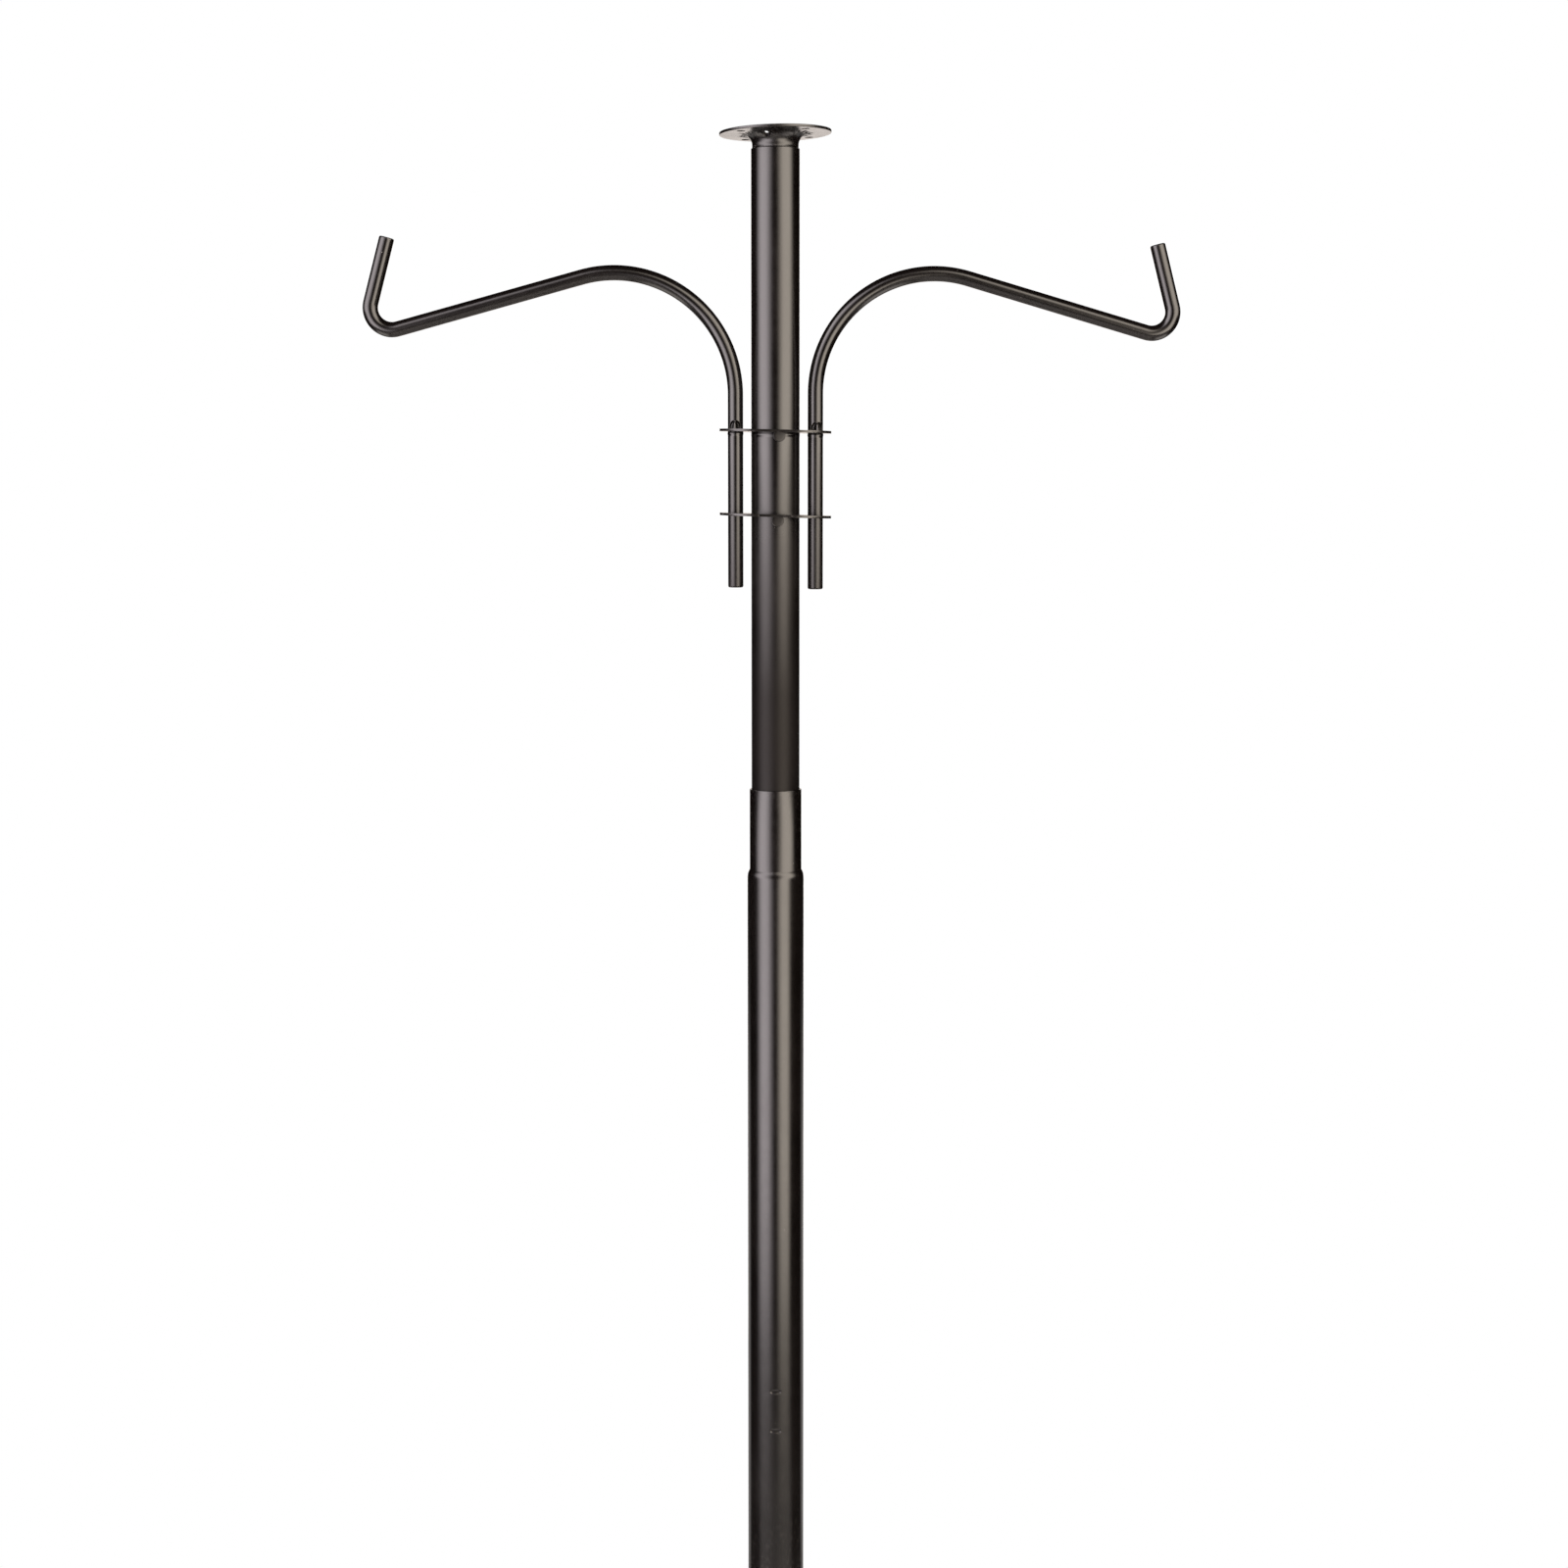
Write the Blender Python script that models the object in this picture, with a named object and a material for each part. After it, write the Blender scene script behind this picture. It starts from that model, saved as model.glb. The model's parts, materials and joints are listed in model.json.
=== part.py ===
"""Two-hook bird feeder pole with a mounting flange on top and an auger at its foot.

Metres, +Z up. The origin is on the pole's axis at soil level, and the hook arms lie along X.
Every section of the pole has a necked mouth that takes the foot of the section above it.
"""

import math

import bmesh
import bpy
from mathutils import Matrix, Vector

MM = 0.001

# Clearances
GAP = 0.3 * MM              # between faces that touch, and round rivets
TUBE_SLIP = 0.25 * MM       # radial, between a tube and the neck it slides in
ROD_SLIP = 0.4 * MM         # radial, between an arm and its hole in a plate

# Upper tube
UPPER_RADIUS = 12.7 * MM    # 1 inch tube
UPPER_WALL = 0.8 * MM
UPPER_LENGTH = 660 * MM
UPPER_DEPTH = 325 * MM      # how far it goes down inside the middle tube
MOUTH_CHAMFER = 0.5 * MM

# Middle and ground tubes
MIDDLE_WALL = 0.8 * MM
MIDDLE_LENGTH = 660 * MM
MIDDLE_DEPTH = 100 * MM     # how far it goes down inside the ground tube
GROUND_WALL = 1.0 * MM
GROUND_LENGTH = 660 * MM
BURIED = 200 * MM           # of the ground tube, below the soil
NECK_STEP = 1.25 * MM       # from a neck's outside to its tube's outside
NECK_LENGTH = 43 * MM
SHOULDER_LENGTH = 5.6 * MM

# Stops punched in the wall of a socket, one below the other, front and back
STOP_WIDTH = 5.2 * MM
STOP_HEIGHT = 2.1 * MM
STOP_SPACING = 21.8 * MM
STOP_OVERLAP = 0.8 * MM     # how far a stop reaches in under the tube's wall
STOP_DENT = 0.35 * MM

# Top flange
FLANGE_RADIUS = 29.25 * MM
FLANGE_SHEET = 1.4 * MM
FLARE_RADIUS = 5.8 * MM
COLLAR_HEIGHT = 1.3 * MM    # straight stretch under the flare
COLLAR_SEAT = 0.2 * MM      # how far the collar stands out over the tube's inner edge
SPIGOT_LENGTH = 25 * MM
SCREW_HOLE_RADIUS = 2.25 * MM
SCREW_HOLES = 4
SCREW_TURN = math.radians(-3.5)
FLANGE_LEAN = math.radians(1.8)   # of the sheet, out of square with its collar
LEAN_TURN = math.radians(-33)     # where the sheet's high side points
VENT_RADIUS = 2.4 * MM      # drain hole for the coating, through the flare
VENT_TURN = math.radians(-19)
VENT_TILT = math.radians(60)

# Hanger plates
PLATE_SHEET = 1.3 * MM
PLATE_DROP = 145.9 * MM     # from the upper tube's top to the upper plate
PLATE_SPACING = 44.1 * MM
PLATE_RIM = 6.3 * MM        # width of plate in front of and behind the tube
PLATE_TIP = 4.4 * MM        # width of plate outside the rods
TUBE_TO_ROD = 4.3 * MM

# Cross rivets that the plates sit on
RIVET_HEAD_RADIUS = 3.2 * MM
RIVET_HEAD_HEIGHT = 1.0 * MM
RIVET_SHANK_RADIUS = 2.4 * MM
RIVET_BELOW_PLATE = 2.5 * MM

# Hook arms
ROD_RADIUS = 4.0 * MM
ROD_TAIL = 83.4 * MM        # below the ears
EAR_REACH = 1.9 * MM        # how far an ear stands out of the rod
EAR_WIDTH = 3.0 * MM
EAR_BASE = 1.6 * MM
EAR_HEIGHT = 6.4 * MM

# Ground auger
AUGER_ROD_RADIUS = 4.0 * MM
AUGER_RADIUS = 19 * MM      # from the axis to the middle of the rod
AUGER_PITCH = 32 * MM
AUGER_TURNS = 4
AUGER_SHANK = 24 * MM
PLUG_HEIGHT = 18 * MM

# Facets
TUBE_STEPS = 32
ROD_SIDES = 12
ARC_STEP = math.radians(7.5)

# Sizes that follow from the ones above
MIDDLE_NECK_RADIUS = UPPER_RADIUS + TUBE_SLIP + MIDDLE_WALL
MIDDLE_RADIUS = MIDDLE_NECK_RADIUS + NECK_STEP
GROUND_NECK_RADIUS = MIDDLE_RADIUS + TUBE_SLIP + GROUND_WALL
GROUND_RADIUS = GROUND_NECK_RADIUS + NECK_STEP
GROUND_FOOT = -BURIED
GROUND_RIM = GROUND_FOOT + GROUND_LENGTH
MIDDLE_FOOT = GROUND_RIM - MIDDLE_DEPTH
MIDDLE_RIM = MIDDLE_FOOT + MIDDLE_LENGTH
UPPER_FOOT = MIDDLE_RIM - UPPER_DEPTH
UPPER_TOP = UPPER_FOOT + UPPER_LENGTH
ROD_OFFSET = UPPER_RADIUS + TUBE_TO_ROD + ROD_RADIUS

# Each plate: its height, how far its right end hangs low, and how far its rivet is turned
PLATES = {
    "upper": {
        "height": UPPER_TOP - PLATE_DROP,
        "tilt": math.radians(1.25),
        "rivet_turn": math.radians(9),
    },
    "lower": {
        "height": UPPER_TOP - PLATE_DROP - PLATE_SPACING,
        "tilt": math.radians(1.75),
        "rivet_turn": math.radians(5.5),
    },
}

# Each arm is bent by hand on the same jig, so the two differ a little
ARMS = {
    "left": {
        "side": -1,
        "rise": 17.4 * MM,
        "crest_radius": 63.4 * MM,
        "fall": math.radians(15.5),
        "run": 100.0 * MM,
        "hook_radius": 11.3 * MM,
        "lean": math.radians(14.8),
        "tip": 34.6 * MM,
    },
    "right": {
        "side": 1,
        "rise": 19.1 * MM,
        "crest_radius": 62.1 * MM,
        "fall": math.radians(16.6),
        "run": 97.2 * MM,
        "hook_radius": 10.9 * MM,
        "lean": math.radians(14.2),
        "tip": 33.3 * MM,
    },
}


def clear_scene():
    for old in list(bpy.data.objects):
        bpy.data.objects.remove(old, do_unlink=True)


def coat(name, colour, roughness, metallic=0.0):
    """Powder coat or bare metal as a plain Principled material."""
    material = bpy.data.materials.new(name)
    material.use_nodes = True
    shader = material.node_tree.nodes["Principled BSDF"]
    shader.inputs["Base Color"].default_value = (*colour, 1.0)
    shader.inputs["Roughness"].default_value = roughness
    shader.inputs["Metallic"].default_value = metallic
    return material


def place(name, mesh, material=None):
    """Puts a mesh in the scene as an object of its own, smooth but for its real corners."""
    piece = bpy.data.objects.new(name, mesh)
    bpy.context.scene.collection.objects.link(piece)
    if material:
        mesh.materials.append(material)
    mesh.shade_smooth()
    mesh.set_sharp_from_angle(angle=math.radians(35))
    return piece


def finish_mesh(name, shape):
    bmesh.ops.remove_doubles(shape, verts=shape.verts, dist=1e-6)
    bmesh.ops.recalc_face_normals(shape, faces=shape.faces)
    mesh = bpy.data.meshes.new(name)
    shape.to_mesh(mesh)
    shape.free()
    return mesh


def turned(name, profile, steps=TUBE_STEPS):
    """A closed outline of (radius, height) points spun about the Z axis."""
    shape = bmesh.new()
    ring = [shape.verts.new((radius, 0.0, height)) for radius, height in profile]
    for start, end in zip(ring, ring[1:] + ring[:1]):
        if start.co.x > 1e-7 or end.co.x > 1e-7:
            shape.edges.new((start, end))
    bmesh.ops.spin(
        shape,
        geom=shape.verts[:] + shape.edges[:],
        cent=(0, 0, 0),
        axis=(0, 0, 1),
        angle=math.tau,
        steps=steps,
        use_merge=True,
    )
    return finish_mesh(name, shape)


def extruded(name, outline, start, end):
    """A flat outline in X and Y carried straight up from one height to another."""
    shape = bmesh.new()
    face = shape.faces.new([shape.verts.new((x, y, start)) for x, y in outline])
    side = bmesh.ops.extrude_face_region(shape, geom=[face])
    raised = [item for item in side["geom"] if isinstance(item, bmesh.types.BMVert)]
    bmesh.ops.translate(shape, verts=raised, vec=(0, 0, end - start))
    return finish_mesh(name, shape)


def swept(name, path, radius, sides):
    """A round rod along a list of points, with flat ends."""
    curve = bpy.data.curves.new(name, "CURVE")
    curve.dimensions = "3D"
    curve.bevel_depth = radius
    curve.bevel_resolution = sides // 4 - 1
    curve.use_fill_caps = True
    spline = curve.splines.new("POLY")
    spline.points.add(len(path) - 1)
    for point, place_on_path in zip(spline.points, path):
        point.co = (*place_on_path, 1.0)
    guide = bpy.data.objects.new(name, curve)
    bpy.context.scene.collection.objects.link(guide)
    mesh = bpy.data.meshes.new_from_object(guide.evaluated_get(bpy.context.evaluated_depsgraph_get()))
    bpy.data.objects.remove(guide, do_unlink=True)
    bpy.data.curves.remove(curve)
    shape = bmesh.new()
    shape.from_mesh(mesh)
    bpy.data.meshes.remove(mesh)
    return finish_mesh(name, shape)


def arc(centre, radius, start, end, step=ARC_STEP):
    """Points round an arc, both ends included, at angles from +X towards +Y."""
    count = max(2, math.ceil(abs(end - start) / step))
    return [
        (
            centre[0] + radius * math.cos(start + (end - start) * i / count),
            centre[1] + radius * math.sin(start + (end - start) * i / count),
        )
        for i in range(count + 1)
    ]


def tool(name, mesh, matrix):
    """A shape that only cuts or adds to another."""
    shape = place(name, mesh)
    shape.matrix_world = matrix
    shape.hide_render = True
    shape.display_type = "WIRE"
    return shape


def combine(piece, other, operation):
    modifier = piece.modifiers.new(other.name, "BOOLEAN")
    modifier.operation = operation
    modifier.solver = "EXACT"
    modifier.object = other


def drill(piece, name, radius, matrix, length, steps=16):
    """A round hole along the local Z of the matrix, centred on it."""
    shape = bmesh.new()
    bmesh.ops.create_cone(
        shape, cap_ends=True, segments=steps, radius1=radius, radius2=radius, depth=length
    )
    combine(piece, tool(name, finish_mesh(name, shape), matrix), "DIFFERENCE")


def facing(turn, height):
    """A frame on the pole's axis whose Z points out of the front, turned towards +X."""
    lay_over = Matrix.Rotation(math.radians(90), 4, "X")
    return Matrix.Translation((0, 0, height)) @ Matrix.Rotation(turn, 4, "Z") @ lay_over


def plain_tube_profile(radius, wall, foot, top):
    return [
        (radius - MOUTH_CHAMFER, top),
        (radius, top - MOUTH_CHAMFER),
        (radius, foot),
        (radius - wall, foot),
        (radius - wall, top),
    ]


def necked_tube_profile(radius, wall, foot, rim):
    """A tube whose upper end is drawn in to a neck through a smooth shoulder."""
    neck = radius - NECK_STEP
    shoulder_top = rim - NECK_LENGTH
    shoulder_steps = 4
    outside = [(neck - wall / 3, rim), (neck, rim - wall / 3)]
    inside = [(neck - wall, rim)]
    for i in range(shoulder_steps + 1):
        share = i / shoulder_steps
        spread = NECK_STEP * (1 - math.cos(math.pi * share)) / 2
        height = shoulder_top - SHOULDER_LENGTH * share
        outside.append((neck + spread, height))
        inside.append((neck - wall + spread, height))
    outside.append((radius, foot))
    inside.append((radius - wall, foot))
    return outside + inside[::-1]


def add_stops(tube, radius, wall, tube_inside, rests_at):
    """Punched stops: a shallow dent outside and a lug inside that the tube above stands on."""
    lug_face = tube_inside - STOP_OVERLAP
    lug_depth = radius - wall / 2 - lug_face
    height = rests_at - GAP - STOP_HEIGHT / 2
    for row in range(2):
        for side, turn in (("front", 0.0), ("back", math.pi)):
            name = f"{tube.name}_{side}_stop_{row + 1}"
            out = facing(turn, height - row * STOP_SPACING)
            outline = stadium(STOP_WIDTH / 2, STOP_HEIGHT / 2, arc_steps=4)
            lug = extruded(f"{name}_lug", outline, lug_face, lug_face + lug_depth)
            combine(tube, tool(f"{name}_lug", lug, out), "UNION")
            dent = extruded(f"{name}_dent", outline, radius - STOP_DENT, radius + wall)
            combine(tube, tool(f"{name}_dent", dent, out), "DIFFERENCE")


def stadium(half_length, half_width, arc_steps):
    """A slot outline: straight sides and round ends, counterclockwise."""
    centre = half_length - half_width
    right = arc((centre, 0), half_width, -math.pi / 2, math.pi / 2, math.pi / arc_steps)
    left = arc((-centre, 0), half_width, math.pi / 2, 3 * math.pi / 2, math.pi / arc_steps)
    return right + left


def make_ground_tube(material):
    profile = necked_tube_profile(GROUND_RADIUS, GROUND_WALL, GROUND_FOOT, GROUND_RIM)
    tube = place("ground_tube", turned("ground_tube", profile), material)
    add_stops(tube, GROUND_RADIUS, GROUND_WALL, MIDDLE_RADIUS - MIDDLE_WALL, MIDDLE_FOOT)


def make_middle_tube(material):
    profile = necked_tube_profile(MIDDLE_RADIUS, MIDDLE_WALL, MIDDLE_FOOT, MIDDLE_RIM)
    tube = place("middle_tube", turned("middle_tube", profile), material)
    add_stops(tube, MIDDLE_RADIUS, MIDDLE_WALL, UPPER_RADIUS - UPPER_WALL, UPPER_FOOT)


def make_upper_tube(material):
    profile = plain_tube_profile(UPPER_RADIUS, UPPER_WALL, UPPER_FOOT, UPPER_TOP)
    tube = place("upper_tube", turned("upper_tube", profile), material)
    for name, plate in PLATES.items():
        through = facing(plate["rivet_turn"], rivet_height(plate))
        hole_radius = RIVET_SHANK_RADIUS + GAP
        drill(tube, f"{name}_rivet_hole", hole_radius, through, 4 * UPPER_RADIUS)


def make_flange(material):
    """Sheet drawn to a round plate with a flared collar; the spigot hangs in the tube."""
    spigot = UPPER_RADIUS - UPPER_WALL - TUBE_SLIP
    collar = UPPER_RADIUS - UPPER_WALL + COLLAR_SEAT
    bore = spigot - FLANGE_SHEET
    seat = UPPER_TOP + GAP
    flare_foot = seat + COLLAR_HEIGHT
    underside = flare_foot + FLARE_RADIUS
    flare_centre = (collar + FLARE_RADIUS, flare_foot)
    top = underside + FLANGE_SHEET
    edge = FLANGE_SHEET / 4
    throat = collar + FLARE_RADIUS - bore
    inner_flare = arc((collar + FLARE_RADIUS, top - throat), throat, math.pi, math.pi / 2, math.pi / 8)
    outer_flare = arc(flare_centre, FLARE_RADIUS, math.pi / 2, math.pi, math.pi / 8)
    profile = inner_flare + [
        (FLANGE_RADIUS - edge, top),
        (FLANGE_RADIUS, top - edge),
        (FLANGE_RADIUS, underside + edge),
        (FLANGE_RADIUS - edge, underside),
    ]
    profile += outer_flare
    profile += [
        (collar, seat),
        (spigot, seat),
        (spigot, seat - SPIGOT_LENGTH),
        (bore, seat - SPIGOT_LENGTH),
    ]
    mesh = turned("top_flange", profile)
    lean_sheet(mesh, flare_foot, underside)
    flange = place("top_flange", mesh, material)
    screw_circle = (collar + FLARE_RADIUS + FLANGE_RADIUS) / 2
    for i in range(SCREW_HOLES):
        angle = math.tau * (i + 0.5) / SCREW_HOLES + SCREW_TURN
        centre = (screw_circle * math.cos(angle), screw_circle * math.sin(angle), underside)
        drill(flange, f"screw_hole_{i + 1}", SCREW_HOLE_RADIUS, Matrix.Translation(centre), 6 * FLANGE_SHEET)
    vent_height = FLARE_RADIUS * math.sin(VENT_TILT)
    vent_reach = collar + FLARE_RADIUS * (1 - math.cos(VENT_TILT))
    on_flare = facing(VENT_TURN, flare_foot) @ Matrix.Translation((0, vent_height, vent_reach))
    vent = on_flare @ Matrix.Rotation(VENT_TILT, 4, "X")
    drill(flange, "vent_hole", VENT_RADIUS, vent, 6 * FLANGE_SHEET)


def lean_sheet(mesh, flare_foot, underside):
    """The collar stays upright, and the lean grows up the flare to its full amount in the sheet."""
    slope = math.tan(FLANGE_LEAN)
    for vertex in mesh.vertices:
        share = (vertex.co.z - flare_foot) / (underside - flare_foot)
        uphill = vertex.co.x * math.cos(LEAN_TURN) + vertex.co.y * math.sin(LEAN_TURN)
        vertex.co.z += min(1.0, max(0.0, share)) * slope * uphill


def rivet_height(plate):
    return plate["height"] - RIVET_BELOW_PLATE


def make_rivets(material):
    """A flat head at each end of a shank that crosses the tube."""
    head_foot = UPPER_RADIUS + GAP
    head_face = head_foot + RIVET_HEAD_HEIGHT
    edge = RIVET_HEAD_HEIGHT / 4
    half = [
        (0.0, head_face),
        (RIVET_HEAD_RADIUS - edge, head_face),
        (RIVET_HEAD_RADIUS, head_face - edge),
        (RIVET_HEAD_RADIUS, head_foot),
        (RIVET_SHANK_RADIUS, head_foot),
    ]
    profile = half + [(radius, -height) for radius, height in reversed(half)]
    for name, plate in PLATES.items():
        rivet = place(f"{name}_rivet", turned(f"{name}_rivet", profile, steps=16), material)
        rivet.matrix_world = facing(plate["rivet_turn"], rivet_height(plate))


def make_plates(material):
    """Slot-shaped sheets with a hole for the tube and one for each rod."""
    half_length = ROD_OFFSET + ROD_RADIUS + PLATE_TIP
    half_width = UPPER_RADIUS + PLATE_RIM
    reach = UPPER_RADIUS + 2 * GAP + RIVET_HEAD_HEIGHT
    for name, plate in PLATES.items():
        outline = stadium(half_length, half_width, arc_steps=20)
        mesh = extruded(f"{name}_plate", outline, -PLATE_SHEET / 2, PLATE_SHEET / 2)
        sheet = place(f"{name}_plate", mesh, material)
        level = Matrix.Translation((0, 0, plate["height"]))
        sheet.matrix_world = level @ Matrix.Rotation(plate["tilt"], 4, "Y")
        drill(sheet, f"{name}_tube_hole", UPPER_RADIUS + TUBE_SLIP, level, 10 * PLATE_SHEET, TUBE_STEPS)
        for side in (-1, 1):
            hole = level @ Matrix.Translation((side * ROD_OFFSET, 0, 0))
            drill(sheet, f"{name}_rod_hole_{side + 2}", ROD_RADIUS + ROD_SLIP, hole, 10 * PLATE_SHEET)
        rise = RIVET_BELOW_PLATE - PLATE_SHEET / 2
        notch = math.sqrt(RIVET_HEAD_RADIUS ** 2 - rise ** 2) + GAP
        box = [(-notch, -reach), (notch, -reach), (notch, reach), (-notch, reach)]
        cutter = extruded(f"{name}_notch", box, -5 * PLATE_SHEET, 5 * PLATE_SHEET)
        turn = Matrix.Rotation(plate["rivet_turn"], 4, "Z")
        combine(sheet, tool(f"{name}_notch", cutter, level @ turn), "DIFFERENCE")


def arm_path(arm, seat):
    """The rod's middle line in X and Z: up from the tail, over the crest, down and round the hook."""
    side = arm["side"]
    crest_foot = seat + arm["rise"]
    crest_centre = (ROD_OFFSET + arm["crest_radius"], crest_foot)
    fall = arm["fall"]
    points = [(ROD_OFFSET, seat - ROD_TAIL)]
    points += arc(crest_centre, arm["crest_radius"], math.pi, math.pi / 2 - fall)
    run_end = Vector(points[-1]) + arm["run"] * Vector((math.cos(fall), -math.sin(fall)))
    hook_centre = run_end + arm["hook_radius"] * Vector((math.sin(fall), math.cos(fall)))
    last = arm["lean"]
    hook = arc(hook_centre, arm["hook_radius"], -math.pi / 2 - fall, last, 2 * ARC_STEP)
    points += hook
    tip = Vector(hook[-1]) + arm["tip"] * Vector((-math.sin(last), math.cos(last)))
    points.append(tuple(tip))
    return [(side * x, 0.0, z) for x, z in points]


def ears_mesh(name, seat):
    """A bar across the rod, front to back, flat below and sloping into the rod above."""
    reach = ROD_RADIUS + EAR_REACH
    root = ROD_RADIUS * 0.9
    outline = [
        (-reach, 0),
        (reach, 0),
        (reach, EAR_BASE),
        (root, EAR_HEIGHT),
        (-root, EAR_HEIGHT),
        (-reach, EAR_BASE),
    ]
    mesh = extruded(name, outline, -EAR_WIDTH / 2, EAR_WIDTH / 2)
    upright = Matrix(((0, 0, 1, 0), (1, 0, 0, 0), (0, 1, 0, seat), (0, 0, 0, 1)))
    mesh.transform(upright)
    return mesh


def make_arms(material):
    """Each arm turns about its own rod, so its origin stands on the rod's axis."""
    plate = PLATES["upper"]
    for name, arm in ARMS.items():
        axis = arm["side"] * ROD_OFFSET
        plate_top = plate["height"] - axis * math.tan(plate["tilt"]) + PLATE_SHEET / 2
        seat = plate_top + GAP
        mesh = swept(f"{name}_hook_arm", arm_path(arm, seat), ROD_RADIUS, ROD_SIDES)
        mesh.transform(Matrix.Translation((-axis, 0, 0)))
        piece = place(f"{name}_hook_arm", mesh, material)
        piece.location.x = axis
        ears = ears_mesh(f"{name}_ears", seat)
        combine(piece, tool(f"{name}_ears", ears, Matrix.Translation((axis, 0, 0))), "UNION")


def make_plug(material):
    outside = GROUND_RADIUS - GROUND_WALL - TUBE_SLIP
    bore = AUGER_ROD_RADIUS + TUBE_SLIP
    foot = GROUND_FOOT + GAP
    top = foot + PLUG_HEIGHT
    profile = [(bore, top), (outside, top), (outside, foot), (bore, foot)]
    place("auger_plug", turned("auger_plug", profile), material)


def make_auger(material):
    """A straight shank that swings out into a right-handed corkscrew."""
    steps_per_turn = 16
    points = [(0.0, 0.0, GROUND_FOOT + AUGER_SHANK), (0.0, 0.0, GROUND_FOOT - AUGER_ROD_RADIUS)]
    start = GROUND_FOOT - 2 * AUGER_ROD_RADIUS
    for i in range(AUGER_TURNS * steps_per_turn + 1):
        turns = i / steps_per_turn
        share = min(1.0, turns)
        swing = AUGER_RADIUS * share * share * (3 - 2 * share)
        angle = -math.tau * turns
        height = start - AUGER_PITCH * turns
        points.append((swing * math.cos(angle), swing * math.sin(angle), height))
    place("ground_auger", swept("ground_auger", points, AUGER_ROD_RADIUS, ROD_SIDES), material)


def main():
    clear_scene()
    black = (0.012, 0.011, 0.011)
    tube_coat = coat("tube_coat", black, 0.32)
    arm_coat = coat("arm_coat", black, 0.3)
    plate_coat = coat("plate_coat", black, 0.36)
    rivet_coat = coat("rivet_coat", (0.02, 0.019, 0.019), 0.4)
    auger_coat = coat("auger_coat", black, 0.45)
    make_ground_tube(tube_coat)
    make_middle_tube(tube_coat)
    make_upper_tube(tube_coat)
    make_flange(plate_coat)
    make_rivets(rivet_coat)
    make_plates(plate_coat)
    make_arms(arm_coat)
    make_plug(auger_coat)
    make_auger(auger_coat)


main()
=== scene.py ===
"""A two-hook bird feeder pole in black powder coat, with a mounting flange and a corkscrew foot.

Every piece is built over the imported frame, in metres, +Z up, and the front of the pole faces -Y.
"""

import json
import math

import bmesh
import bpy
import numpy as np
from mathutils import Matrix, Vector


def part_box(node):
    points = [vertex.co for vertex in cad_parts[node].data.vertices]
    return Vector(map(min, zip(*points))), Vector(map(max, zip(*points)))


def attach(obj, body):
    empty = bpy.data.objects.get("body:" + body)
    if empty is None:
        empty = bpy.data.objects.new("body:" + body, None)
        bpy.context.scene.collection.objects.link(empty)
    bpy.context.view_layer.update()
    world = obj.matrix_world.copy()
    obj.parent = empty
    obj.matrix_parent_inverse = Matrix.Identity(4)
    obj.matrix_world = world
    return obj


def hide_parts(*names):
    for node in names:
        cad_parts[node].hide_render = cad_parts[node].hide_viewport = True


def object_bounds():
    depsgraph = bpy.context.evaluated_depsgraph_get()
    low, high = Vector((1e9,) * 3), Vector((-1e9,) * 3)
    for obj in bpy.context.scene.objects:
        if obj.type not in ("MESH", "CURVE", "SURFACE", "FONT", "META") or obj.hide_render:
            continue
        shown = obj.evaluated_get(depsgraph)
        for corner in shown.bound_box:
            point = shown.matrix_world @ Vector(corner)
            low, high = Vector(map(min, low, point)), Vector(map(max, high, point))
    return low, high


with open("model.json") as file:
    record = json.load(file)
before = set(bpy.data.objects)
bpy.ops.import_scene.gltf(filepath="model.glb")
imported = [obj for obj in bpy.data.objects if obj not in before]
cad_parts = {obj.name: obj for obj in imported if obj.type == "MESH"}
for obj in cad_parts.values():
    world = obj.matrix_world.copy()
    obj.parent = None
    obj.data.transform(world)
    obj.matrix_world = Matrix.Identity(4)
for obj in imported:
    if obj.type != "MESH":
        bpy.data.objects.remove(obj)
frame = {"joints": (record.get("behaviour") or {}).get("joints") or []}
cad_low, cad_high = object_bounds()
MM = 0.001


# ------------------------------------------------------------------------------------------
# Studio
# A pale floor under the pole, a tall soft box on either side in front of it, and dim cards
# behind and below that only its grazing and downward faces mirror. None of the lamps is seen.
# ------------------------------------------------------------------------------------------

CAMERA_PLACE = (4.5 * MM, -1.5, 1184.85 * MM)
CAMERA_PITCH = math.radians(-6.177)
CAMERA_LENS = 65.0
FLOOR_HEIGHT = cad_low.z - 0.5 * MM
FLOOR_BOX_HEIGHT = cad_low.z + 3 * MM
FLOOR_MIDDLE = -0.75
FLOOR_REACH = (3.4, 2.95)
FLOOR_SEEN_PALE = 0.85

camera_data = bpy.data.cameras.new("camera")
camera_data.lens = CAMERA_LENS
camera_data.sensor_width = 36.0
camera = bpy.data.objects.new("camera", camera_data)
camera.location = CAMERA_PLACE
camera.rotation_euler = (math.radians(90) + CAMERA_PITCH, 0, 0)
bpy.context.scene.collection.objects.link(camera)
bpy.context.scene.camera = camera
bpy.context.scene.view_settings.view_transform = "Standard"


def add_node(tree, kind, inputs=None, **settings):
    """A node with its inputs set or linked. Inputs go by name or by place."""
    node = tree.nodes.new(kind)
    for name, value in settings.items():
        setattr(node, name, value)
    for name, value in (inputs or {}).items():
        if isinstance(value, bpy.types.NodeSocket):
            tree.links.new(value, node.inputs[name])
        else:
            node.inputs[name].default_value = value
    return node


def blank_material(name):
    material = bpy.data.materials.new(name)
    material.use_nodes = True
    material.node_tree.nodes.clear()
    return material, material.node_tree


def put(name, mesh, material=None):
    piece = bpy.data.objects.new(name, mesh)
    bpy.context.scene.collection.objects.link(piece)
    if material:
        mesh.materials.clear()
        mesh.materials.append(material)
    return piece


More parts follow.
